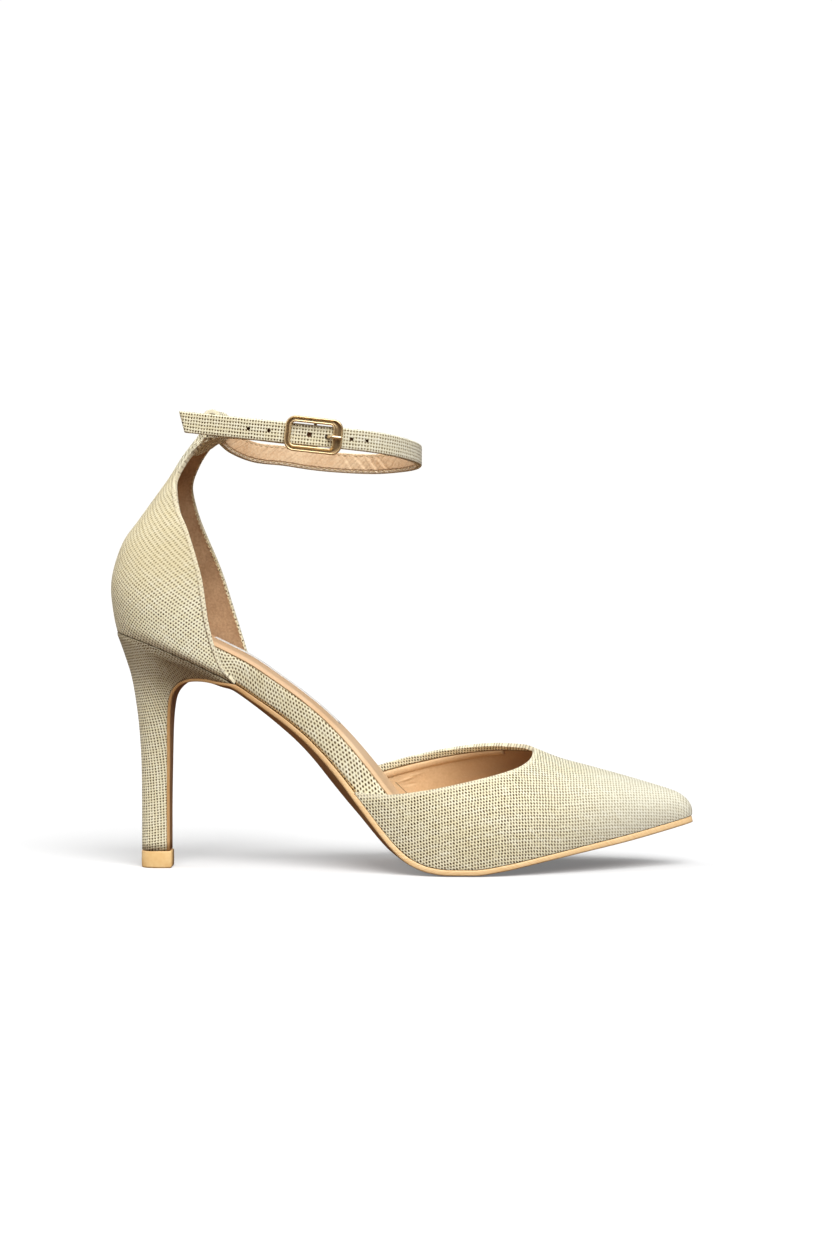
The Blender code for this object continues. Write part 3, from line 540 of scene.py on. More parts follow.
def folded_linen(name, weave, seam_depth, bead_depth):
    """Linen whose cut edge is turned in: a paler, beaded fold along the edge, with a seam low beside it."""
    finish = Finish(name, Roughness=0.86, Sheen_Weight=0.12, Specular_IOR_Level=0.25)
    colour, height = linen_weave(finish, weave)
    edge, far = finish.uv("edge")
    _, level = finish.millimetres()
    fold = 1 - finish.ease(edge, FOLD_WIDTH * 0.75, FOLD_WIDTH)
    fading = 1 - finish.ease(level, *SEAM_FADES) * 0.75
    seam = finish.band(edge, SEAM_AT, SEAM_HALF) * fading * seam_depth
    from_bead = abs(edge - FOLD_WIDTH / 2) / (FOLD_WIDTH / 2)
    bead = finish.math("SQRT", finish.math("MAXIMUM", 1 - from_bead * from_bead, 0.0)) * bead_depth
    ticks = finish.math("SINE", (far + edge * 1.2) * (2 * math.pi / TICK_STEP)) * 0.5 + 0.5
    colour = finish.mix(fold * ((ticks - 0.5) * bead_depth * 0.45 + 0.45), colour, FOLD_CREAM)
    bead = bead + ticks * fold * bead_depth * 0.3
    colour = finish.mix(seam, colour, SEAM_DARK)
    finish.paint(colour)
    finish.relief(height * (1 - fold * 0.4) + bead - seam * 0.7, 0.30, 0.5)
    return finish.material


def leather_grain(finish, place):
    """Fine leather grain: low pebbles with a slower unevenness under them."""
    pebble = finish.node("ShaderNodeTexVoronoi", {"feature": "SMOOTH_F1"}, {"Vector": place, "Scale": 1400.0})
    slow = finish.noise(place, 160.0, 4.0)
    return pebble * 0.5 + slow * 0.8


def lining_colour(finish, place, deep, tan, nap):
    """Tan of a soft lining, with slow patches and a fine nap."""
    patch = finish.noise(place, 55.0, 4.0) - 0.5
    fine = finish.noise(place, 1100.0, 2.0) - 0.5
    return finish.mix(finish.ease(patch + fine * nap, -0.35, 0.35), deep, tan)


def painted_toe_shade(finish, colour, depth):
    """Darkens a lining with painted shade as it runs into the toe."""
    x, _ = finish.millimetres()
    return finish.mix(finish.ease(x, *TOE_SHADE) * depth, colour, LINING_SHADE)


def roll_lining():
    """Padded roll inside the vamp's top edge."""
    finish = Finish("roll_lining", Specular_IOR_Level=0.35, Roughness=0.55)
    place = finish.object_place()
    colour = lining_colour(finish, place, LINING_DEEP, LINING_TAN, 0.6)
    # Painted shade on the roll towards the toe
    finish.paint(painted_toe_shade(finish, colour, 0.6))
    finish.relief(leather_grain(finish, place), 0.10, 0.6)
    return finish.material


def counter_lining():
    """Napped lining of the counter, with the linen turned in along its edge."""
    finish = Finish("counter_lining", Specular_IOR_Level=0.3, Roughness=0.7)
    place = finish.object_place()
    woven, _ = linen_weave(finish, COUNTER_WEAVE)
    edge, _ = finish.uv("edge")
    turned = 1 - finish.ease(edge, 0.60, 0.80)
    colour = lining_colour(finish, place, COUNTER_DEEP, COUNTER_TAN, 0.55)
    finish.paint(finish.mix(turned, colour, woven))
    finish.relief(leather_grain(finish, place), 0.12, 0.7)
    return finish.material


def vamp_lining():
    """Vamp's lining: linen turned in along the top edge, a ragged joint, a low seam and a few creases."""
    finish = Finish("vamp_lining", Specular_IOR_Level=0.35, Roughness=0.6)
    place = finish.object_place()
    x, level = finish.millimetres()
    woven, _ = linen_weave(finish, VAMP_WEAVE)
    edge, _ = finish.uv("edge")
    ragged = edge + (finish.noise(place, 1300.0, 2.0) - 0.5) * 0.7
    turned = 1 - finish.ease(edge, LINEN_TURN - 0.1, LINEN_TURN + 0.1)
    joint = finish.band(ragged, LINEN_TURN + 0.3, 0.65)
    seam = finish.band(x + level, LINING_SEAM, 0.3) * (1 - finish.ease(level, 30.3, 31.2))
    colour = lining_colour(finish, place, LINING_DEEP, LINING_TAN, 0.5)
    # Painted shade deep in the toe, where little light reaches
    colour = painted_toe_shade(finish, colour, 0.85)
    colour = finish.mix(seam * 0.6, colour, SEAM_DARK)
    colour = finish.mix(turned, colour, woven)
    colour = finish.mix(joint * 0.85, colour, SEAM_DARK)
    creased = 0.0
    for middle_x, middle_z, lean, reach, depth in VAMP_CREASES:
        across = (level - middle_z - (x - middle_x) * lean) / 0.55
        along = (x - middle_x) / reach
        creased = finish.math("EXPONENT", (across * across + along * along) * -1.0) * depth + creased
    finish.paint(colour)
    finish.relief(leather_grain(finish, place) * 0.2 + creased - joint * 0.6 - seam * 0.4, 0.45, 0.8)
    return finish.material


def strap_inside():
    """Strap's lining: a paler band under the ragged stitched line along its lower edge."""
    finish = Finish("strap_inside", Specular_IOR_Level=0.35, Roughness=0.6)
    place = finish.object_place()
    height, along = finish.uv("edge")
    ragged = height + (finish.noise(place, 1300.0, 2.0) - 0.5) * 0.9
    low = 1 - finish.ease(height, -3.0, -2.6)
    stitched = finish.band(ragged, -2.75, 0.5) + finish.band(ragged, 3.2, 0.4) * 0.6
    streak = finish.noise(finish.vector((along + height) * 0.7, height * 0.12), 1.0, 3.0)
    colour = lining_colour(finish, place, STRAP_DEEP, STRAP_TAN, 0.8)
    colour = finish.mix((1 - finish.ease(streak, 0.35, 0.55)) * 0.22, colour, SEAM_TAN)
    colour = finish.mix(low, colour, STRAP_PALE)
    finish.paint(finish.mix(stitched * 0.7, colour, SEAM_TAN))
    finish.relief(leather_grain(finish, place) + streak * 1.2 - stitched * 1.5, 0.14, 0.8)
    return finish.material


def sock_leather():
    """Smooth sock leather with slow patches, a worn rim, and painted shade towards the heel."""
    finish = Finish("sock_leather", Specular_IOR_Level=0.4)
    place = finish.object_place()
    patch = finish.noise(place, 38.0, 4.0)
    colour = finish.mix(finish.ease(patch, 0.3, 0.75), SOCK_DEEP, SOCK_TAN)
    edge, _ = finish.uv("edge")
    rim = finish.band(edge, 0.1, 0.5)
    x, _ = finish.millimetres()
    # Painted shade on the sock towards the heel, where the counter shades it
    colour = finish.mix((1 - finish.ease(x, *SOCK_SHADE)) * SOCK_SHADE_SHARE, colour, SOCK_PAINTED_SHADE)
    colour = finish.mix(rim * 0.5, colour, LINING_DEEP)
    finish.paint(colour, patch * 0.16 + 0.48)
    finish.relief(leather_grain(finish, place) - rim * 0.6, 0.09, 0.5)
    return finish.material


def sole_edge():
    """Stacked sole edge: long faint layers and fine specks."""
    finish = Finish("sole_edge", Specular_IOR_Level=0.4)
    along, around = finish.uv("weave")
    layers = finish.noise(finish.vector(along * 0.02, around * 2.4), 1.0, 3.0)
    specks = finish.noise(finish.object_place(), 800.0, 2.0)
    colour = finish.mix(finish.ease(layers + specks * 0.2, 0.35, 0.8), EDGE_DEEP, EDGE_TAN)
    x, _ = finish.millimetres()
    # Painted shade: the edge darkens towards the heel and down the breast's flap
    colour = finish.mix((1 - finish.ease(x, *EDGE_SHADE_X)) * EDGE_SHADE_SHARE, colour, EDGE_PAINTED_SHADE)
    finish.paint(colour, specks * 0.2 + 0.38)
    finish.relief(layers + specks * 0.4, 0.10, 0.4)
    return finish.material


def sole_underside():
    """Brown rubber underside with a faint pebble and a few rubbed places."""
    finish = Finish("sole_underside", Specular_IOR_Level=0.35)
    place = finish.object_place()
    pebble = finish.node("ShaderNodeTexVoronoi", {"feature": "SMOOTH_F1"}, {"Vector": place, "Scale": 900.0})
    rubbed = finish.noise(place, 45.0, 5.0)
    colour = finish.mix(finish.ease(rubbed, 0.35, 0.7), UNDER_DEEP, UNDER_BROWN)
    finish.paint(colour, rubbed * 0.25 + 0.45)
    finish.relief(pebble + rubbed * 0.5, 0.16, 0.7)
    return finish.material


def heel_tip():
    """Moulded tan top piece: even colour with faint flow marks and a darker wearing face."""
    finish = Finish("heel_tip", Specular_IOR_Level=0.4)
    place = finish.object_place()
    _, height = finish.millimetres()
    flow = finish.noise(place, 240.0, 3.0)
    worn = 1 - finish.ease(height, 0.1, 1.1)
    seam = finish.band(height, TOP_PIECE_HEIGHT - 0.1, 0.5)
    colour = finish.mix(finish.ease(flow, 0.3, 0.75), TIP_DEEP, TIP_TAN)
    colour = finish.mix(worn * 0.4 + seam * 0.5, colour, EDGE_DEEP)
    finish.paint(colour, flow * 0.2 + 0.34)
    finish.relief(flow, 0.10, 0.4)
    return finish.material


def antique_gold(name, bright):
    """Brushed gold plate with a brown patina in its hollows and painted shade where it lies behind the strap.
    """
    finish = Finish(name, Metallic=0.8)
    place = finish.object_place()
    cloud = finish.noise(place, 420.0, 4.0)
    brushed = finish.noise(place, 2600.0, 2.0)
    # The edge map holds patina in the frame's groove and painted shade behind the strap
    groove, _ = finish.uv("edge")
    patina_and_shade = finish.math("MINIMUM", groove * 0.85 + finish.ease(cloud, 0.5, 0.8) * 0.10, 1.0)
    colour = finish.mix(patina_and_shade, bright, GOLD_DEEP)
    finish.paint(colour, patina_and_shade * 0.2 + brushed * 0.1 + 0.24)
    finish.relief(brushed, 0.01, 0.15)
    return finish.material


def sewing_thread(name, colour_light):
    """Twisted thread: fine slanted plies along each stitch."""
    finish = Finish(name, Specular_IOR_Level=0.3)
    place = finish.object_place()
    plies = finish.noise(place, 2200.0, 2.0)
    finish.paint(finish.mix(finish.ease(plies, 0.3, 0.7), LINEN_SHADE, colour_light), plies * 0.2 + 0.6)
    finish.relief(plies, 0.05, 0.6)
    return finish.material


def blank_label():
    """Plain white satin of the label."""
    finish = Finish("blank_label", Specular_IOR_Level=0.4)
    satin = finish.noise(finish.object_place(), 1500.0)
    finish.paint(finish.mix(finish.ease(satin, 0.35, 0.65), LABEL_SHADE, LABEL_WHITE), satin * 0.2 + 0.4)
    finish.relief(satin, 0.04, 0.4)
    return finish.material


def punched_hole():
    """Raw brown wall of a punched hole."""
    finish = Finish("punched_hole", Specular_IOR_Level=0.2)
    fibre = finish.noise(finish.object_place(), 1800.0, 3.0)
    finish.paint(finish.mix(fibre, HOLE_BROWN, UNDER_DEEP), fibre * 0.2 + 0.75)
    finish.relief(fibre, 0.06, 0.6)
    return finish.material


# Shapes of the last

def unit(ways):
    return ways / np.linalg.norm(ways, axis=1, keepdims=True)


def square_to(ahead, ways):
    """The given ways, turned to be square to the directions ahead."""
    return unit(ways - ahead * np.sum(ways * ahead, axis=1, keepdims=True))


def soft_step(share):
    return share**2 * (3 - 2 * share)


def smooth_path(points, per_span):
    """Points along a Catmull-Rom curve through the given ones."""
    points = [np.array(p, float) for p in points]
    ends = [2 * points[0] - points[1]] + points + [2 * points[-1] - points[-2]]
    path = []
    for p0, p1, p2, p3 in zip(ends, ends[1:], ends[2:], ends[3:]):
        for i in range(per_span):
            t = i / per_span
            path.append(0.5 * (2 * p1 + (p2 - p0) * t + (2 * p0 - 5 * p1 + 4 * p2 - p3) * t**2
                               + (3 * p1 - p0 - 3 * p2 + p3) * t**3))
    path.append(points[-1])
    return np.array(path)


def run_length(line):
    """Distance along a line at each of its points."""
    steps = np.linalg.norm(np.diff(line, axis=0), axis=1)
    return np.concatenate([[0.0], np.cumsum(steps)])


def read_line(line, wanted):
    """Points of a line at the wanted distances along it."""
    run = run_length(line)
    return np.stack([np.interp(wanted, run, line[:, i]) for i in range(line.shape[1])], axis=1)


def even_line(line, count):
    return read_line(line, np.linspace(0.0, run_length(line)[-1], count))


def grid_runs(points, axis):
    """Distance along each row or column of a grid of points."""
    steps = np.linalg.norm(np.diff(points, axis=axis), axis=2)
    start = np.zeros_like(np.take(steps, [0], axis=axis))
    return np.concatenate([start, np.cumsum(steps, axis=axis)], axis=axis)


def grid_normals(points):
    across = np.gradient(points, axis=0)
    along = np.gradient(points, axis=1)
    normal = np.cross(across, along)
    return normal / np.maximum(np.linalg.norm(normal, axis=2, keepdims=True), 1e-9)


def nearest(points, line):
    """Shortest distance from each point of a grid to the points of a line."""
    flat = points.reshape(-1, 3)
    apart = np.linalg.norm(flat[:, None, :] - line[None, :, :], axis=2)
    return apart.min(axis=1).reshape(points.shape[:2])


def pair(first, second):
    return np.stack(np.broadcast_arrays(first, second), axis=-1)


def u_curve(length, reach, wide, front, count):
    """Half of a rounded plan outline, as (distance from the back, half width)."""
    d = length * (np.arange(161) / 160) ** 2
    round_back = wide * (1 - np.clip(1 - d / reach, 0.0, 1.0) ** 2.1) ** (1 / 2.1)
    straight = wide + (front - wide) * (np.clip(d - reach, 0.0, None) / max(length - reach, 1e-6)) ** 1.5
    return even_line(np.stack([d, np.where(d < reach, round_back, straight)], axis=1), count)


def bed_frames(xs):
    """Points along the top of the sole, each with the direction square to it, in the XZ plane."""
    xs = np.array(xs, float)
    ahead = np.stack([np.full_like(xs, 0.1), BED.at("z", xs + 0.05) - BED.at("z", xs - 0.05)], axis=1)
    ahead = unit(ahead)
    return np.stack([xs, BED.at("z", xs)], axis=1), np.stack([-ahead[:, 1], ahead[:, 0]], axis=1)


def path_normals(path, up):
    ahead = np.gradient(path, axis=0)
    ahead = unit(ahead)
    return np.stack([-ahead[:, 1], ahead[:, 0]], axis=1) * up


def eased_steps(stops, counts):
    """Numbers from each stop to the next, with the given count of steps between them."""
    values = [stops[0]]
    for a, b, n in zip(stops, stops[1:], counts):
        values += [a + (b - a) * (i + 1) / n for i in range(n)]
    return np.array(values)


# Making pieces

def skin(points, maps, join_across=False, join_along=False, cap=False, tints=None):
    """A grid of faces through the given points; each map gives the corners' places in a UV map."""
    columns, rows = points.shape[0] - 1, points.shape[1] - 1
    bm = bmesh.new()
    bmesh.ops.create_grid(bm, x_segments=columns, y_segments=rows, size=0.5)
    for name in maps:
        bm.loops.layers.uv.new(name)
    layers = [(bm.loops.layers.uv[name], place) for name, place in maps.items()]
    corner = {}
    for vert in bm.verts:
        corner[vert] = (round((vert.co.x + 0.5) * columns), round((vert.co.y + 0.5) * rows))
    for face in bm.faces:
        face.smooth = True
        for loop in face.loops:
            for layer, place in layers:
                loop[layer].uv = place[corner[loop.vert]]
        if tints is not None:
            face.material_index = tints(min(corner[v][0] for v in face.verts))
    for vert, index in corner.items():
        vert.co = Vector(points[index]) * MM
    if join_across or join_along:
        bmesh.ops.remove_doubles(bm, verts=bm.verts, dist=0.0005 * MM)
    if cap:
        ends = [edge for edge in bm.edges if edge.is_boundary]
        caps = bmesh.ops.holes_fill(bm, edges=ends, sides=0)["faces"]
        bmesh.ops.triangulate(bm, faces=caps)
    if join_across and (cap or join_along):
        bmesh.ops.recalc_face_normals(bm, faces=bm.faces)
    return bm


def piece(name, bm, finishes, stands_for=None):
    """Links a mesh as a piece of the shoe, with its finishes, its body and the solid that it stands for."""
    mesh = bpy.data.meshes.new(name)
    bm.to_mesh(mesh)
    bm.free()
    for finish in finishes:
        mesh.materials.append(finish)
    made = bpy.data.objects.new(name, mesh)
    bpy.context.scene.collection.objects.link(made)
    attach(made, "root")
    if stands_for:
        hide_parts(stands_for)
    return made


def wall(made, thick, inner_finish):
    """Gives a skin its wall on the inner side, with rounded edges."""
    solid = made.modifiers.new("wall", "SOLIDIFY")
    solid.thickness = thick * MM
    solid.offset = -1.0
    solid.use_even_offset = True
    solid.use_rim = True
    solid.material_offset = inner_finish
    solid.material_offset_rim = 0
    edge = made.modifiers.new("rolled_edge", "BEVEL")
    edge.width = 0.42 * thick * MM
    edge.segments = 3
    edge.limit_method = "ANGLE"
    edge.angle_limit = math.radians(50.0)
    edge.use_clamp_overlap = True


def stitch_row(name, path, lift, finish, length, gap, radius):
    """Stitches end to end along a path, each a short rounded thread lying on the surface."""
    run = run_length(path)
    bm = bmesh.new()
    for middle in np.arange(length, run[-1] - length, length + gap):
        start, at, end = read_line(path, [middle - 0.2, middle, middle + 0.2])
        ahead = Vector(end - start).normalized()
        up = Vector(lift[int(np.argmin(np.abs(run - middle)))])
        up = (up - ahead * up.dot(ahead)).normalized()
        side = up.cross(ahead)
        turn = Matrix((ahead * length / 2, side * radius, up * radius)).transposed().to_4x4()
        place = Matrix.Translation(Vector(at) * MM) @ Matrix.Scale(MM, 4) @ turn
        bmesh.ops.create_uvsphere(bm, u_segments=8, v_segments=6, radius=1.0, matrix=place)
    for face in bm.faces:
        face.smooth = True
    bmesh.ops.recalc_face_normals(bm, faces=bm.faces)
    return piece(name, bm, [finish])


def tube(path, sizes, sides, guide):
    """Oval rings along a path; sizes are the half widths along the guide and square to it."""
    ahead = np.gradient(path, axis=0)
    ahead = unit(ahead)
    guide = np.broadcast_to(np.array(guide, float), path.shape)
    one = square_to(ahead, guide)
    two = np.cross(ahead, one)
    turn = np.linspace(0.0, 2 * math.pi, sides + 1)
    sizes = np.broadcast_to(np.array(sizes, float), (len(path), 2))
    ring = (one[None] * (np.cos(turn)[:, None] * sizes[None, :, 0])[..., None]
            + two[None] * (np.sin(turn)[:, None] * sizes[None, :, 1])[..., None])
    return path[None] + ring


# Vamp

def vamp_point(x, turn):
    """A point of the vamp's outside: turn runs from 0 at the outer sole edge to pi at the inner one."""
    low = BED.at("z", x) + GAP
    high = CREST.at("z", x)
    ridge = CREST.at("y", x)
    outer = turn < math.pi / 2
    reach = np.where(outer, OUTLINE.at("lat", x) + ridge, OUTLINE.at("med", x) - ridge)
    rise = np.minimum(turn, math.pi - turn)
    out = reach * np.cos(rise) + CREST.at("belly", x) * np.sin(2 * rise)
    return np.stack([x, ridge + np.where(outer, -out, out), low + (high - low) * np.sin(rise)], axis=-1)


def topline_x(turn):
    """Where the vamp's top edge crosses the given turn."""
    table = TOPLINE_LAT if turn < math.pi / 2 else TOPLINE_MED
    rise = min(turn, math.pi - turn)
    xs = np.linspace(table.x[0], THROAT_X, 160)
    low = BED.at("z", xs) + GAP
    share = (table.at("z", xs) - low) / (CREST.at("z", xs) - low)
    turns = np.arcsin(np.clip(share, 0.0, 1.0))
    turns[0] = 0.0
    turns[-1] = math.pi / 2
    return float(np.interp(rise, np.maximum.accumulate(turns), xs))


def vamp_grid(across, along):
    turns = np.linspace(0.0, math.pi, across + 1)
    starts = np.array([topline_x(t) for t in turns])[:, None]
    share = 1 - (1 - np.linspace(0.0, 1.0, along + 1)) ** 1.7
    x = starts + (TOE_X - starts) * share[None, :]
    turn = np.repeat(turns[:, None], along + 1, axis=1)
    return x, turn


def girth_from_crest(x, turn):
    """Distance round the vamp's section from its ridge, minus on the outer side."""
    shares = np.linspace(0.0, 1.0, 33)
    turns = math.pi / 2 + (turn[..., None] - math.pi / 2) * shares
    points = vamp_point(np.repeat(x[..., None], len(shares), axis=-1), turns)
    girth = np.linalg.norm(np.diff(points, axis=-2), axis=-1).sum(axis=-1)
    return np.where(turn < math.pi / 2, -girth, girth)


def make_vamp(cloth, inside):
    x, turn = vamp_grid(112, 84)
    points = vamp_point(x, turn)
    girth = girth_from_crest(x, turn)
    weave = VAMP_WEAVE.count(x, girth)
    edge = nearest(points, even_line(points[:, 0], 500))
    bm = skin(points, {"weave": weave, "edge": pair(edge, edge)})
    toe = [v for v in bm.verts if v.co.x > (TOE_X - 0.001) * MM]
    rim = [e for e in bm.edges if e.is_boundary and all(v in toe for v in e.verts)]
    nose = bmesh.ops.contextual_create(bm, geom=toe + rim)["faces"]
    for face in nose:
        face.smooth = True
    bmesh.ops.triangulate(bm, faces=nose)
    bmesh.ops.recalc_face_normals(bm, faces=bm.faces)
    vamp = piece("vamp_cloth", bm, [cloth, inside], "vamp")
    wall(vamp, WALL, 1)
    return points


def make_vamp_rolls(points, inside):
    """The padded roll of lining inside the vamp's top edge, on each side up to the throat."""
    top = points[:, 0]
    ahead = np.gradient(top, axis=0)
    ahead = unit(ahead)
    into = square_to(ahead, points[:, 1] - top)
    inward = np.cross(ahead, into)
    towards = np.array(VAMP_INSIDE) - top
    inward = inward * np.sign(np.sum(inward * towards, axis=1, keepdims=True))
    path = top + into * ROLL_FROM_EDGE + inward * WALL
    above_bed = path[:, 2] > BED.at("z", path[:, 0]) + FOOTBED.at("thick", path[:, 0]) - 4.0
    for name, side in (("vamp_roll_outer", -1), ("vamp_roll_inner", 1)):
        keep = above_bed & (path[:, 0] < ROLL_END_X) & (path[:, 1] * side > 0)
        ring = tube(path[keep], ROLL_SIZE, 14, into[keep])
        bm = skin(ring, {}, join_across=True, cap=True)
        piece(name, bm, [inside])


# Counter

def counter_row(values, first):
    row = dict(zip(COUNTER_COLUMNS.split(), values))
    sides = []
    for side in (-1, 1):
        front = row["front_x"] + side * row["twist"]
        length = front - row["back_x"]
        if row["reach"] > 0:
            edge = row["wide"] - 0.12 * max(length - row["reach"], 0.0)
            d, y = u_curve(length, row["reach"], row["wide"], edge, 60).T
            x = row["back_x"] + d
            z = row["back_z"] + (row["front_z"] - row["back_z"]) * d / length
            if first:
                y = np.minimum(y, OUTLINE.at("lat" if side < 0 else "med", x))
                z = BED.at("z", x) + SEAT_GAP
        else:
            a = np.linspace(0.0, 1.0, 60)
            x = row["back_x"] + (row["front_x"] - row["back_x"]) * a * a + side * row["twist"] * a
            y = row["wide"] * a
            z = row["back_z"] + (row["front_z"] - row["back_z"]) * a * a
        sides.append(np.stack([x, side * y, z], axis=1))
    return np.concatenate([sides[0][::-1], sides[1][1:]])


def counter_grid(middle_count):
    """The counter's outside, with its columns gathered at the two front edges for the turned fold."""
    keys = [counter_row(values, i == 0) for i, values in enumerate(COUNTER)]
    lower = smooth_path(keys[:COUNTER_TAB_ROW + 1], 4)
    upper = smooth_path(keys[COUNTER_TAB_ROW:], 3)
    columns = []
    runs = []
    for row in list(lower[:-1]) + list(upper):
        length = run_length(row)[-1]
        middle = np.linspace(3.0, length - 3.0, middle_count)
        wanted = np.concatenate([NEAR_EDGE, middle, length - NEAR_EDGE[::-1]])
        columns.append(read_line(row, wanted))
        runs.append(np.minimum(wanted, length - wanted))
    return np.stack(columns, axis=1), np.stack(runs, axis=1)


def make_counter(cloth, inside):
    points, edge = counter_grid(70)
    normals = grid_normals(points)
    away = points - np.array(COUNTER_INSIDE)
    outward = 1.0 if np.median(np.sum(normals * away, axis=2)) > 0 else -1.0
    normals = normals * outward
    tuck = SEAT_TUCK * np.clip(1 - grid_runs(points, 1) / SEAT_TUCK_REACH, 0.0, 1.0) ** 2
    points[..., 1] -= normals[..., 1] * tuck
    middle = points.shape[0] // 2
    around = grid_runs(points, 0)
    around = around - around[middle:middle + 1]
    weave = COUNTER_WEAVE.count(-around, points[..., 2])
    bm = skin(points, {"weave": weave, "edge": pair(edge, grid_runs(points, 1))})
    if outward < 0:
        bmesh.ops.reverse_faces(bm, faces=bm.faces)
    counter = piece("counter_cloth", bm, [cloth, inside], "counter")
    wall(counter, WALL, 1)
    return points, normals


def make_counter_stitches(counter_skin, thread):
    """A row of stitches inside each front edge of the counter."""
    points, normals = counter_skin
    rows = slice(6, 4 * COUNTER_TAB_ROW - 4)
    for side, column in (("outer", STITCH_COLUMN), ("inner", -1 - STITCH_COLUMN)):
        name = "counter_stitches_" + side
        path = points[column, rows] - normals[column, rows] * (WALL + 0.08)
        stitch_row(name, path, -normals[column, rows], thread, *COUNTER_STITCH)


# Footbed, sock and sole

def footbed_half(xs):
    """Middle and half width of the footbed, drawn in where the counter covers its side."""
    shift = np.interp(xs, FOOTBED_SHIFTS, (2.0, 0.0))
    swell = INSOLE_SWELL * np.interp(xs, FOOTBED_SWELLS, (0.0, 1.0))
    hidden = np.interp(xs, FOOTBED_HIDES, (1.0, 0.0))
    inset = INSOLE_INSET - swell + (SEAT_TUCK + GAP) * soft_step(hidden)
    lat = OUTLINE.at("lat", xs - shift) - inset
    med = OUTLINE.at("med", xs - shift) - inset
    return (med - lat) / 2, (med + lat) / 2


def footbed_loop(xs, out, up):
    """Points round the footbed at each x, from half widths and heights between shoulder and middle."""
    middle, normal = bed_frames(xs)
    centre, _ = footbed_half(xs)
    up = np.concatenate([up, up[::-1], up[:1]]) + GAP
    y = np.concatenate([centre + out, centre - out[::-1], centre + out[:1]])
    return np.stack([middle[:, 0] + normal[:, 0] * up, y, middle[:, 1] + normal[:, 1] * up], axis=-1)


def make_insole(cloth):
    xs = eased_steps([-108.0, -107.0, -104.0, -92.0, -22.0, 12.0, 100.0, 108.0, 110.9],
                     [3, 5, 8, 40, 24, 40, 6, 5])
    _, half = footbed_half(xs)
    soft = np.minimum(1.0, half / 8.0)
    thick = FOOTBED.at("thick", xs)
    flat = np.zeros_like(thick)
    keys = [(half - 1.2 * soft, flat), (half, flat + 1.2), (half, thick * 0.5),
            (half - 0.2 * soft, thick - 1.9), (half - 0.9 * soft, thick - 0.5), (half - 2.6 * soft, thick),
            (half * 0.4, thick)]
    side = smooth_path(np.array(keys), 4)
    points = footbed_loop(xs, side[:, 0], side[:, 1])
    around = grid_runs(points, 0)
    weave = FOOTBED_WEAVE.count(xs[None, :], BED.at("z", xs)[None, :] + around)
    bm = skin(points, {"weave": weave}, join_across=True, cap=True)
    piece("insole_cloth", bm, [cloth], "insole")


# Sock's section: steps in from the footbed's half width and down from its top, and the way out from there
SOCK_SECTION = [(0.9, 0.5, 0.8, 0.6), (2.6, 0.0, 0.25, 0.97), (4.6, 0.0, 0.0, 1.0)]


def sock_side(xs, edge_lift, lift):
    """Half of the sock's face from its thin edge to its middle, at the given lifts from the footbed."""
    _, half = footbed_half(xs)
    soft = np.minimum(1.0, half / 8.0)
    thick = FOOTBED.at("thick", xs)
    keys = []
    for (inset, drop, out, up), raised in zip(SOCK_SECTION, (edge_lift, lift, lift)):
        keys.append((half - inset * soft + out * raised, thick - drop + up * raised))
    keys.append((half * 0.4, thick + lift))
    keys.append((np.zeros_like(half), thick + lift))
    return smooth_path(np.array(keys), 5)


def make_sock(leather):
    xs = eased_steps([-105.5, -102.0, -92.0, -22.0, 12.0, 96.0, 104.0], [5, 6, 36, 22, 40, 6])
    outer = sock_side(xs, 0.7, GAP + SOCK_THICK)
    inner = sock_side(xs, 0.1, GAP)
    upper = footbed_loop(xs, outer[:, 0], outer[:, 1])[:-1]
    lower = footbed_loop(xs, inner[:, 0], inner[:, 1])[:-1]
    points = np.concatenate([upper, lower[::-1], upper[:1]])
    edge = np.minimum(*[np.linalg.norm(points - line, axis=2) for line in (upper[:1], upper[-1:])])
    bm = skin(points, {"edge": pair(edge, edge)}, join_across=True, cap=True)
    piece("sock_leather", bm, [leather], "sock")


def sock_surface(xs, share, lift):
    """Points above the sock's top: share runs from -1 near its outer edge to 1 near its inner edge."""
    middle, normal = bed_frames(xs)
    centre, half = footbed_half(xs)
    up = FOOTBED.at("thick", xs) + 2 * GAP + SOCK_THICK + lift
    y = centre + share * (half - SOCK_MARGIN)
    x = middle[:, 0] + normal[:, 0] * up
    z = middle[:, 1] + normal[:, 1] * up
    return np.stack(np.broadcast_arrays(x, y, z), axis=-1)


# Label: its two ends by x, its two sides as shares of the sock's half width, and its underside and top
LABEL_ENDS = (-79.0, -33.0)
LABEL_SIDES = (0.42, 0.92)
LABEL_LIFTS = (0.06, 0.28)


def make_label(satin):
    """A blank woven label on the sock's heel."""
    xs = np.linspace(*LABEL_ENDS, 40)
    share = np.linspace(*LABEL_SIDES, 8)[:, None]
    bottom, top = [sock_surface(xs, share, lift) for lift in LABEL_LIFTS]
    points = np.concatenate([top, bottom[::-1], top[:1]])
    bm = skin(points, {}, join_across=True, cap=True)
    piece("blank_label", bm, [satin])


def waist_inset(x):
    """How far the bare waist of the sole sits in from the upper's edge."""
    front = np.interp(x, WAIST_FRONT, (1.0, 0.0))
    back = np.interp(x, WAIST_BACK, (0.0, 1.0))
    return WAIST_INSET * soft_step(front) * soft_step(back)


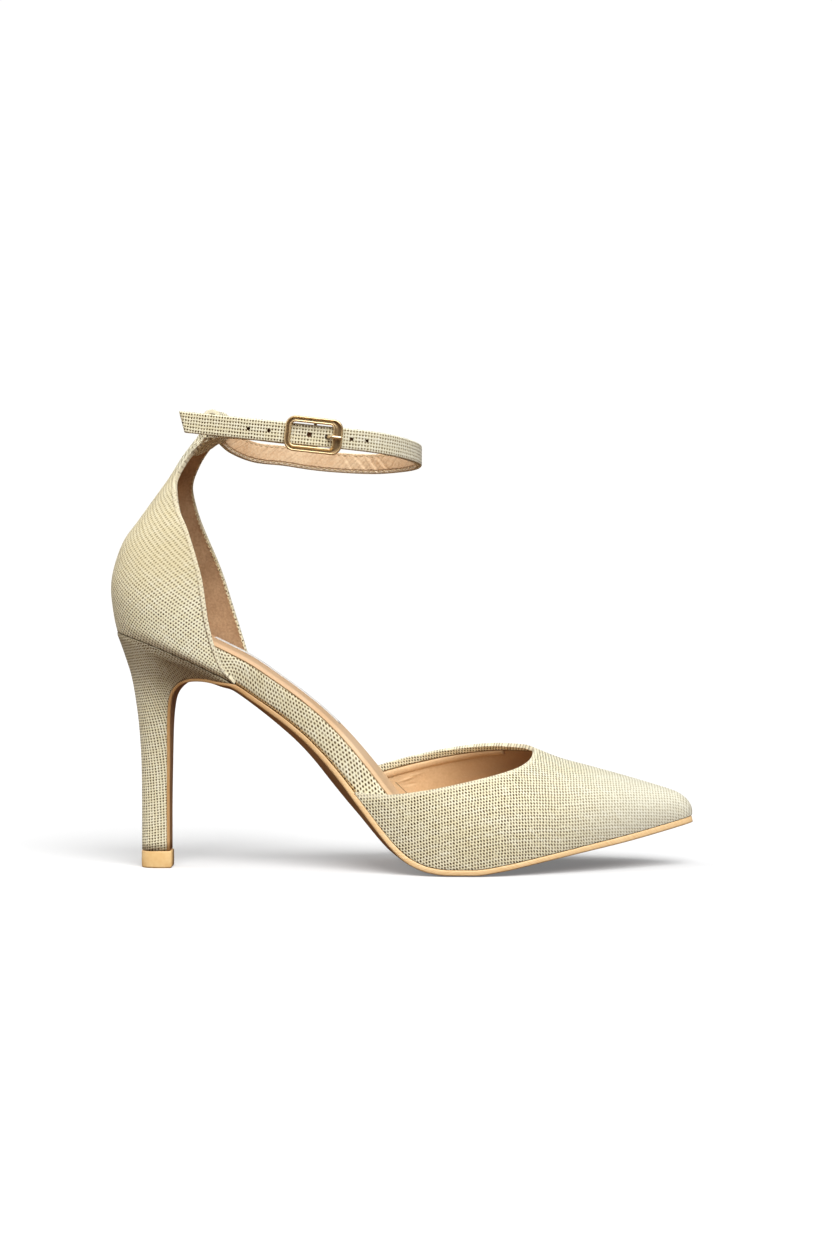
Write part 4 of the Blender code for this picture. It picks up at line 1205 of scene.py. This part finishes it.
def sole_rows():
    """The sole from toe to waist, then down the breast: place, direction, side widths and thicknesses."""
    xs = eased_steps([TOE_X - 0.5, 112.2, 106.0, 27.0, 17.0, -26.0, SEAT_FRONT_X], [4, 6, 36, 4, 36, 20])
    middle, normal = bed_frames(xs)
    inset = waist_inset(xs)
    bed = np.stack([OUTLINE.at("lat", xs) - inset, OUTLINE.at("med", xs) - inset, SOLE.at("edge", xs),
                    SOLE.at("centre", xs)], axis=1)
    flap = np.array([(x, z, half, half, FLAP_THICK, FLAP_THICK) for x, z, half, *_ in BREAST])
    flap[:2, 5] = FLAP_ROOT
    flap = smooth_path(flap, 5)
    places = np.concatenate([middle, flap[:, :2]])
    normals = np.concatenate([normal, path_normals(flap[:, :2], -1)])
    return places, normals, np.concatenate([bed, flap[:, 2:]])


# Side of the sole: steps in from its edge, in corner widths, and up it, as shares of its thickness
SOLE_SIDE = [(0.25, 0.12), (0.0, 0.3), (0.0, 0.75), (0.15, 0.95)]

# Underside of the sole: columns of faces across it, and the share of its half width that stays flat
SOLE_COLUMNS = 28
SOLE_FLAT = 0.25


def make_outsole(edge_finish, under_finish):
    """The sole with its crowned underside and the flap that runs down the heel's breast."""
    places, normals, sizes = sole_rows()
    lat, med, edge, centre = sizes.T
    share = np.linspace(-1.0, 1.0, SOLE_COLUMNS + 1)[:, None]
    rounding = np.clip(np.abs(share) - SOLE_FLAT, 0.0, None) / (1 - SOLE_FLAT)
    thick = centre + (edge - centre) * rounding**2
    mid = (med - lat) / 2
    half = (med + lat) / 2
    corner = np.minimum(0.45, half * 0.2)
    bottom_share = share * (half - corner) / half
    bottom = (mid + bottom_share * half, -thick)
    rise = [-edge + edge * up for inset, up in SOLE_SIDE]
    inner_side = [mid + half - corner * inset for inset, up in SOLE_SIDE]
    outer_side = [mid - half + corner * inset for inset, up in SOLE_SIDE]
    top_share = np.linspace(0.99, -0.99, 15)[:, None]
    top = (mid + top_share * half, np.zeros_like(thick[:15]))
    y = np.concatenate([bottom[0], inner_side, top[0], outer_side[::-1], bottom[0][:1]])
    up = np.concatenate([bottom[1], rise, top[1], rise[::-1], bottom[1][:1]])
    points = np.stack([places[:, 0] + normals[:, 0] * up, y, places[:, 1] + normals[:, 1] * up], axis=-1)
    along = run_length(places)[None, :]
    around = grid_runs(points, 0)
    bm = skin(points, {"weave": pair(along, around)}, join_across=True, cap=True,
              tints=lambda column: 1 if column < SOLE_COLUMNS else 0)
    piece("outsole_stack", bm, [edge_finish, under_finish], "outsole")


# Heel and its top piece

def heel_outline(back_x, back_z, front_x, front_z, wide, half, count):
    length = front_x - back_x
    d, y = u_curve(length, length * 0.62, wide, half, count).T
    x = back_x + d
    z = back_z + (front_z - back_z) * d / length
    outer = np.stack([x, -y, z], axis=1)
    inner = np.stack([x, y, z], axis=1)
    return np.concatenate([outer[::-1], inner[1:], outer[-1:]])


def heel_rows(points):
    """Height along the heel's cloth: its rows climb to the front, and turn down over the flare."""
    x, z = points[..., 0], points[..., 2]
    past = x - np.interp(z, *ROWS_TURN)
    turned = (past + np.sqrt(past**2 + 4.0)) / 2
    flare = np.interp(z, FLARE_STARTS, (0.0, 1.0))
    return z - HEEL_CLIMB * x + turned * flare


def make_heel(cloth):
    rows = np.array(BREAST)
    normals = path_normals(rows[:, :2], -1)
    rings = []
    for (x, z, half, back_x, back_z, wide), normal in zip(BREAST, normals):
        front = np.array([x, z]) + normal * FLAP_GAP
        rings.append(heel_outline(back_x, back_z, *front, wide, half, 40))
    back_x, back_z, front_x, wide, half = HEEL_SEAT
    seat = heel_outline(back_x, back_z, front_x, 0.0, wide, half, 40)
    seat[:, 2] = BED.at("z", seat[:, 0]) - SEAT_GAP
    limit = OUTLINE.at("lat", seat[:, 0] + 0.1) - HEEL_TUCK
    seat[:, 1] = np.clip(seat[:, 1], -limit, limit)
    points = np.stack(list(smooth_path([seat] + rings, 6)), axis=1)
    limit = np.maximum(OUTLINE.at("lat", points[..., 0] + 0.1) - HEEL_TUCK, 0.0)
    points[..., 1] = np.clip(points[..., 1], -limit, limit)
    around = grid_runs(points, 0)
    middle = points.shape[0] // 2
    around = around - around[middle:middle + 1]
    weave = HEEL_WEAVE.count(around, heel_rows(points))
    bm = skin(points, {"weave": weave}, join_across=True, cap=True)
    piece("heel_cover", bm, [cloth], "heel")


# Rings of the top piece: height, and how far each is drawn in
TIP_RINGS = [
    (0.0, 0.45), (0.12, 0.2), (0.35, 0.05), (0.7, 0.0), (3.0, -0.05), (6.1, 0.0), (6.45, 0.06),
    (TOP_PIECE_HEIGHT, 0.25)]


def make_top_piece(rubber):
    back, front, wide, half = TIP_PLAN
    rings = []
    for z, inset in TIP_RINGS:
        rings.append(heel_outline(back + inset, z, front - inset, z, wide - inset, half - inset, 28))
    points = np.stack(rings, axis=1)
    bm = skin(points, {}, join_across=True, cap=True)
    piece("heel_tip", bm, [rubber], "top_piece")


# Ankle strap

def buckle_point(place):
    """Places on the buckle: along the strap towards the toe, up across it, and out from its middle."""
    along, up, out = np.moveaxis(np.asarray(place, float), -1, 0)
    c, s = math.cos(STRAP_SLOPE), math.sin(STRAP_SLOPE)
    return np.stack([BUCKLE_X + along * c + up * s, TAIL_Y - out, BUCKLE_Z - along * s + up * c], axis=-1)


# How far out from the strap's middle the bar and the frame lie, and the radius of the loop round the bar
BAR_OUT = -(STRAP_THICK / 2 + GAP + CHAPE_THICK + CLOSE + CENTRE_BAR_RADIUS)
RIM_OUT = STRAP_THICK / 2 + GAP + BUCKLE_DEPTH / 2
CHAPE_TURN = CENTRE_BAR_RADIUS + CLOSE + CHAPE_THICK / 2

# Strap's short end behind the buckle, up to its turn round the bar: along, out, and thickness
CHAPE = [(-14.0, -4.9, 1.9), (-10.0, -4.7, 1.6), (-7.0, -4.62, 1.3), (-4.0, -4.6, CHAPE_THICK)]


def strap_frames():
    """Points along the strap with their direction, the way up across it, the way out, and the thickness."""
    path = [np.append(p, STRAP_THICK) for p in smooth_path(STRAP_FRONT, 8)]
    free = len(path)
    chape = list(CHAPE)
    for step in range(17):
        turn = math.pi * (step / 16 - 0.5)
        chape.append((CHAPE_TURN * math.cos(turn), BAR_OUT + CHAPE_TURN * math.sin(turn), CHAPE_THICK))
    chape.append((-3.0, BAR_OUT + CHAPE_TURN, CHAPE_THICK))
    for along, out, thick in chape:
        path.append(np.append(buckle_point((along, 0.0, out)), thick))
    path = np.array(path)
    middle, thick = path[:, :3], path[:, 3]
    ahead = np.gradient(middle, axis=0)
    ahead = unit(ahead)
    up = np.tile([0.0, 0.0, 1.0], (len(path), 1))
    up[free:] = (math.sin(STRAP_SLOPE), 0.0, math.cos(STRAP_SLOPE))
    up = square_to(ahead, up)
    return middle, ahead, up, np.cross(ahead, up), thick, free


def strap_section():
    """Half-rounded band section, as shares of the half width and of the half thickness."""
    corners = []
    for corner, (sa, sb) in enumerate(((1, 1), (-1, 1), (-1, -1), (1, -1))):
        for k in range(5):
            turn = math.pi / 2 * (corner + k / 4)
            corners.append((sa * 0.84 + 0.16 * math.cos(turn), sb * 0.36 + 0.64 * math.sin(turn)))
        if corner in (0, 2):
            corners += [(sa * 0.84 * (1 - 2 * t / 10), sb * 1.0) for t in range(1, 10)]
    return np.array(corners + corners[:1])


def make_strap(cloth, hole):
    middle, ahead, up, out, thick, free = strap_frames()
    section = strap_section()
    run = run_length(middle)
    a = section[:, :1] * STRAP_WIDTH / 2
    b = section[:, 1:] * thick[None, :] / 2
    slant = (TAIL_SLANT * (1 - section[:, :1]) - TAIL_POINT * (1 + section[:, :1])) / 2
    slant = slant * np.clip(1 - run / 9.0, 0.0, 1.0)[None, :]
    points = middle + ahead * slant[..., None] + up * a[..., None] + out * b[..., None]
    around = grid_runs(points, 0)
    weave = STRAP_WEAVE.count(run[None, :] + slant, around)
    bm = skin(points, {"weave": weave}, join_across=True, cap=True)
    strap = piece("strap_cloth", bm, [cloth, hole], "ankle_strap")
    punch(strap, hole)
    return middle, up, out, free


# Slots that the prong fills, in the tail and in the loop round the bar: their reach along, up and out
PRONG_SLOTS = [((4.3, 6.2), (-0.78, 0.78), (-1.6, 1.6)), ((-4.4, 2.6), (-1.15, 1.15), (-5.9, -1.18))]


def punch(strap, hole):
    """Punches the tail's round holes and the prong's slots."""
    bm = bmesh.new()
    line = smooth_path(STRAP_FRONT[:9], 24)
    for x, radius in TAIL_HOLES:
        row = int(np.argmin(np.abs(line[:, 0] - x)))
        ahead = Vector(line[row + 1] - line[row - 1]).normalized()
        away = ahead.cross(Vector((0.0, 0.0, 1.0))).normalized()
        turn = Vector((0.0, 0.0, 1.0)).rotation_difference(away).to_matrix().to_4x4()
        place = Matrix.Translation(Vector(line[row]) * MM) @ turn
        bmesh.ops.create_cone(bm, cap_ends=True, segments=20, radius1=radius * MM, radius2=radius * MM,
                              depth=2.4 * STRAP_THICK * MM, matrix=place)
    for along, up, out in PRONG_SLOTS:
        middle = Vector(buckle_point((sum(along) / 2, sum(up) / 2, sum(out) / 2))) * MM
        turn = Matrix.Rotation(STRAP_SLOPE, 4, "Y")
        size = Matrix.Diagonal(Vector((along[1] - along[0], out[1] - out[0], up[1] - up[0], 1.0)) * MM)
        size[3][3] = 1.0
        bmesh.ops.create_cube(bm, size=1.0, matrix=Matrix.Translation(middle) @ turn @ size)
    mesh = bpy.data.meshes.new("punch")
    bm.to_mesh(mesh)
    bm.free()
    mesh.materials.append(hole)
    tool = bpy.data.objects.new("punch", mesh)
    bpy.context.scene.collection.objects.link(tool)
    cut = strap.modifiers.new("holes", "BOOLEAN")
    cut.operation = "DIFFERENCE"
    cut.solver = "EXACT"
    cut.material_mode = "TRANSFER"
    cut.object = tool
    punched = bpy.data.meshes.new_from_object(strap.evaluated_get(bpy.context.evaluated_depsgraph_get()))
    punched.name = "strap_cloth"
    strap.modifiers.clear()
    strap.data = punched
    bpy.data.objects.remove(tool, do_unlink=True)


def make_strap_lining(strap, inside, thread):
    """The lining strip on the strap's inner face, creased at the ankle's front and stitched at each edge."""
    middle, up, out, free = strap
    run = run_length(middle[:free])
    wanted = np.arange(LINING_START, run[-1], LINING_STEP)
    rows, rise, outward = [np.stack([np.interp(wanted, run, line[:free, i]) for i in range(3)], axis=1)
                           for line in (middle, up, out)]
    height = np.linspace(-1.0, 1.0, 13)[:, None] * LINING_HALF
    crown = STRAP_THICK / 2 + 0.30 - 0.24 * (height / LINING_HALF) ** 4
    for start, lean, depth in LINING_CREASES:
        crown = crown - depth * np.exp(-((wanted[None, :] - start - lean * height) / 0.5) ** 2)
        crown = crown + 0.6 * depth * np.exp(-((wanted[None, :] - start - lean * height - 1.2) / 0.7) ** 2)
    crown = np.maximum(crown, STRAP_THICK / 2 + 0.03)
    face = rows[None] + rise[None] * height[..., None] - outward[None] * crown[..., None]
    back = rows[None] + rise[None] * height[..., None] - outward[None] * (STRAP_THICK / 2 - 0.2)
    points = np.concatenate([face, back[::-1], face[:1]])
    heights = np.concatenate([height, height[::-1], height[:1]])
    bm = skin(points, {"edge": pair(heights, wanted[None, :])}, join_across=True, cap=True)
    piece("strap_lining", bm, [inside])
    for name, side in (("strap_stitches_upper", 1.0), ("strap_stitches_lower", -1.0)):
        path = rows + rise * side * STITCHES_AT - outward * (STRAP_THICK / 2 + 0.28)
        stitch_row(name, path, -outward, thread, *STRAP_STITCH)


# Buckle

def buckle_frame_path(per_corner):
    """Points round the buckle's frame, and the way out from it at each."""
    long_half = (BUCKLE_LENGTH - BUCKLE_BAR) / 2 - BUCKLE_CORNER
    high_half = (BUCKLE_HEIGHT - BUCKLE_BAR) / 2 - BUCKLE_CORNER
    path = []
    ways = []
    for corner, (sx, sy) in enumerate(((1, 1), (-1, 1), (-1, -1), (1, -1))):
        for k in range(per_corner + 1):
            turn = math.pi / 2 * (corner + k / per_corner)
            ways.append((math.cos(turn), math.sin(turn), 0.0))
            path.append((sx * long_half + BUCKLE_CORNER * math.cos(turn),
                         sy * high_half + BUCKLE_CORNER * math.sin(turn), RIM_OUT))
    return np.array(path + path[:1]), np.array(ways + ways[:1])


# Section of the buckle's frame (outwards in its plane, and away from the strap), the groove's place and half
# width in steps of that section, and how far the inner wire is set in: all round, then on the toe side, and
# the places along between which it bends to that side
FRAME_SECTION = [
    (0.92, -0.75), (0.98, -0.2), (0.95, 0.35), (0.80, 0.66), (0.50, 0.74), (0.26, 0.56), (0.16, 0.06),
    (-0.10, 0.02), (-0.26, 0.52), (-0.50, 0.80), (-0.80, 0.80), (-1.04, 0.54), (-1.10, 0.1), (-1.02, -0.5),
    (-0.70, -0.78), (0.2, -0.82)]
GROOVE_STEP = 6.5
GROOVE_HALF = 1.7
INNER_WIRE_IN = 0.3
INNER_WIRE_SET = 1.45
INNER_WIRE_BENDS = (4.5, 8.6)


def make_buckle(gold):
    """The grooved frame, and the centre bar set back behind the strap."""
    path, ways = buckle_frame_path(10)
    section = smooth_path(FRAME_SECTION + FRAME_SECTION[:1], 2)
    face = np.array([0.0, 0.0, 1.0])
    inner = np.clip(0.5 - section[:, :1] / 0.4, 0.0, 1.0)
    inwards = section[:, :1] - INNER_WIRE_IN * inner
    points = path[None] + ways[None] * inwards[..., None] + face * section[:, None, 1:]
    bent = np.interp(points[..., 0], INNER_WIRE_BENDS, (0.0, 1.0))
    points[..., 0] -= INNER_WIRE_SET * inner * bent
    step = np.arange(len(section)) / 2
    groove = np.clip(1 - np.abs(step - GROOVE_STEP) / GROOVE_HALF, 0.0, 1.0)[:, None]
    # The groove gets patina; the face towards the strap is darkened with painted shade
    low = np.clip((0.1 - section[:, 1]) / 0.9, 0.0, 1.0)[:, None]
    patina_and_painted_shade = np.maximum(groove, low * 0.8) + np.zeros(len(path))
    frame_bm = skin(buckle_point(points), {"edge": pair(patina_and_painted_shade, patina_and_painted_shade)}, join_across=True, join_along=True)
    piece("buckle_frame", frame_bm, [gold], "buckle")
    top = (BUCKLE_HEIGHT - BUCKLE_BAR) / 2
    half = [(0.0, top, RIM_OUT), (0.0, top, 0.0), (0.0, top, BAR_OUT + 1.0), (0.0, top - 0.3, BAR_OUT + 0.3),
            (0.0, top - 1.0, BAR_OUT), (0.0, 1.5, BAR_OUT)]
    bar = smooth_path(half + [(0.0, -up, out) for _, up, out in reversed(half)], 4)
    ring = tube(bar, (CENTRE_BAR_RADIUS, CENTRE_BAR_RADIUS), 14, (1.0, 0.0, 0.0))
    # Painted shade: the bar behind the strap is dark all over
    patina_and_painted_shade = np.full(ring.shape[:2], 1.0)
    bar_bm = skin(buckle_point(ring), {"edge": pair(patina_and_painted_shade, patina_and_painted_shade)}, join_across=True, cap=True)
    piece("buckle_bar", bar_bm, [gold])


def make_prong(gold):
    """The prong: hooked round the bar, up through the tail, and at rest over the frame's toe side."""
    hook = CENTRE_BAR_RADIUS + CLOSE + PRONG_RADIUS
    path = []
    for step in range(11):
        turn = math.radians(-70.0 - 200.0 * step / 10)
        path.append((hook * math.cos(turn), 0.0, BAR_OUT + hook * math.sin(turn)))
    under = BAR_OUT + hook
    over = RIM_OUT + BUCKLE_DEPTH / 2 + GAP + PRONG_RADIUS - 0.1
    rise = [(2.0, under), (3.8, under + 0.1), (4.8, -1.0), (5.4, 0.8), (6.0, 2.4), (6.8, over - 0.15),
            (7.8, over + 0.1), (9.8, over), (10.9, over)]
    path += [(along, 0.0, out) for along, out in rise]
    line = smooth_path(path, 4)
    run = run_length(line)
    taper = np.clip((run[-1] - run) / 0.7, 0.0, 1.0)
    radius = PRONG_RADIUS * np.sqrt(np.clip(1 - (1 - taper) ** 2, 0.06, 1.0))
    ring = tube(line, np.stack([radius * 0.95, radius * 1.05], axis=1), 14, (0.0, 1.0, 0.0))
    # Painted shade: the prong darkens the deeper it lies behind the frame
    patina_and_painted_shade = np.clip((2.0 - ring[..., 2]) / 3.0, 0.0, 0.8)
    bm = skin(buckle_point(ring), {"edge": pair(patina_and_painted_shade, patina_and_painted_shade)}, join_across=True, cap=True)
    piece("prong_tongue", bm, [gold], "prong")


# Stage

def make_camera():
    lens = bpy.data.cameras.new("camera")
    lens.sensor_fit = "VERTICAL"
    lens.sensor_height = SENSOR
    lens.lens = SENSOR / (PHOTO_HEIGHT * PIXEL) * CAMERA_AWAY
    lens.clip_start = 0.01
    camera = bpy.data.objects.new("camera", lens)
    camera.location = Vector((CAMERA_X, -CAMERA_AWAY, CAMERA_Z)) * MM
    camera.rotation_euler = (math.pi / 2 - math.atan(CAMERA_DROP / CAMERA_AWAY), 0.0, 0.0)
    bpy.context.scene.collection.objects.link(camera)
    bpy.context.scene.camera = camera


def make_sun(name, strength, angle, towards, colour):
    data = bpy.data.lights.new(name, "SUN")
    data.energy = strength
    data.angle = math.radians(angle)
    data.color = colour
    light = bpy.data.objects.new(name, data)
    light.rotation_euler = Vector(towards).to_track_quat("-Z", "Y").to_euler()
    bpy.context.scene.collection.objects.link(light)


# Studio lights: strength, spread in degrees, the way the light goes, and its colour
LIGHTS = {
    "softbox": (3.7, 50.0, (-0.24, 0.82, -0.92), (1.0, 1.0, 1.0)),
    "left_fill": (0.55, 60.0, (0.85, 0.35, -0.80), (1.0, 0.97, 0.92)),
    "left_rim": (0.6, 40.0, (1.0, -0.15, -0.35), (1.0, 1.0, 1.0)),
    "overhead": (0.25, 70.0, (0.0, 0.1, -1.0), (0.90, 1.0, 1.12))}

# Strength of the backdrop's light on the shoe, and as the camera sees it
BACKDROP_LIGHT = 0.18
BACKDROP_SEEN = 1.05


def make_floor():
    """White paper that glows a little to the camera, so that the shadows on it stay soft."""
    bm = bmesh.new()
    bmesh.ops.create_grid(bm, x_segments=2, y_segments=2, size=8.0)
    mesh = bpy.data.meshes.new("floor")
    bm.to_mesh(mesh)
    bm.free()
    paper = Finish("floor_paper", Roughness=0.9, Specular_IOR_Level=0.1, Emission_Strength=1.0)
    fibre = paper.noise(paper.object_place(), 300.0)
    white = paper.mix(fibre, FLOOR_DULL, FLOOR_WHITE)
    looked_at = paper.node("ShaderNodeLightPath", output="Is Camera Ray")
    paper.paint(paper.mix(looked_at, FLOOR_BOUNCE, white), glow=paper.mix(looked_at, NO_GLOW, FLOOR_GLOW))
    mesh.materials.append(paper.material)
    floor = bpy.data.objects.new("floor", mesh)
    bpy.context.scene.collection.objects.link(floor)


def make_backdrop():
    world = bpy.data.worlds.new("studio")
    world.use_nodes = True
    nodes = world.node_tree.nodes
    backdrop = nodes["Background"]
    backdrop.inputs["Color"].default_value = BACKDROP
    seen = nodes.new("ShaderNodeLightPath")
    strength = nodes.new("ShaderNodeMapRange")
    strength.inputs["To Min"].default_value = BACKDROP_LIGHT
    strength.inputs["To Max"].default_value = BACKDROP_SEEN
    world.node_tree.links.new(seen.outputs["Is Camera Ray"], strength.inputs["Value"])
    world.node_tree.links.new(strength.outputs["Result"], backdrop.inputs["Strength"])
    bpy.context.scene.world = world
    bpy.context.scene.view_settings.view_transform = "Standard"


make_camera()
make_floor()
make_backdrop()
for name, settings in LIGHTS.items():
    make_sun(name, *settings)

# The footbed's and the heel's linen carry painted shade close under the heel seat
footbed_linen = plain_linen("footbed_linen", FOOTBED_WEAVE, 0.16)
heel_linen = plain_linen("heel_linen", HEEL_WEAVE, 0.45)
strap_linen = plain_linen("strap_linen", STRAP_WEAVE)
vamp_linen = folded_linen("vamp_linen", VAMP_WEAVE, 0.0, 0.0)
counter_linen = folded_linen("counter_linen", COUNTER_WEAVE, 0.8, 1.1)
plate = antique_gold("antique_gold", GOLD_BRIGHT)

vamp_points = make_vamp(vamp_linen, vamp_lining())
make_vamp_rolls(vamp_points, roll_lining())
counter_skin = make_counter(counter_linen, counter_lining())
make_counter_stitches(counter_skin, sewing_thread("counter_thread", THREAD_CREAM))
make_insole(footbed_linen)
make_sock(sock_leather())
make_label(blank_label())
make_outsole(sole_edge(), sole_underside())
make_heel(heel_linen)
make_top_piece(heel_tip())
strap = make_strap(strap_linen, punched_hole())
make_strap_lining(strap, strap_inside(), sewing_thread("strap_thread", THREAD_CREAM))
make_buckle(plate)
make_prong(antique_gold("pale_gold", PRONG_BRIGHT))
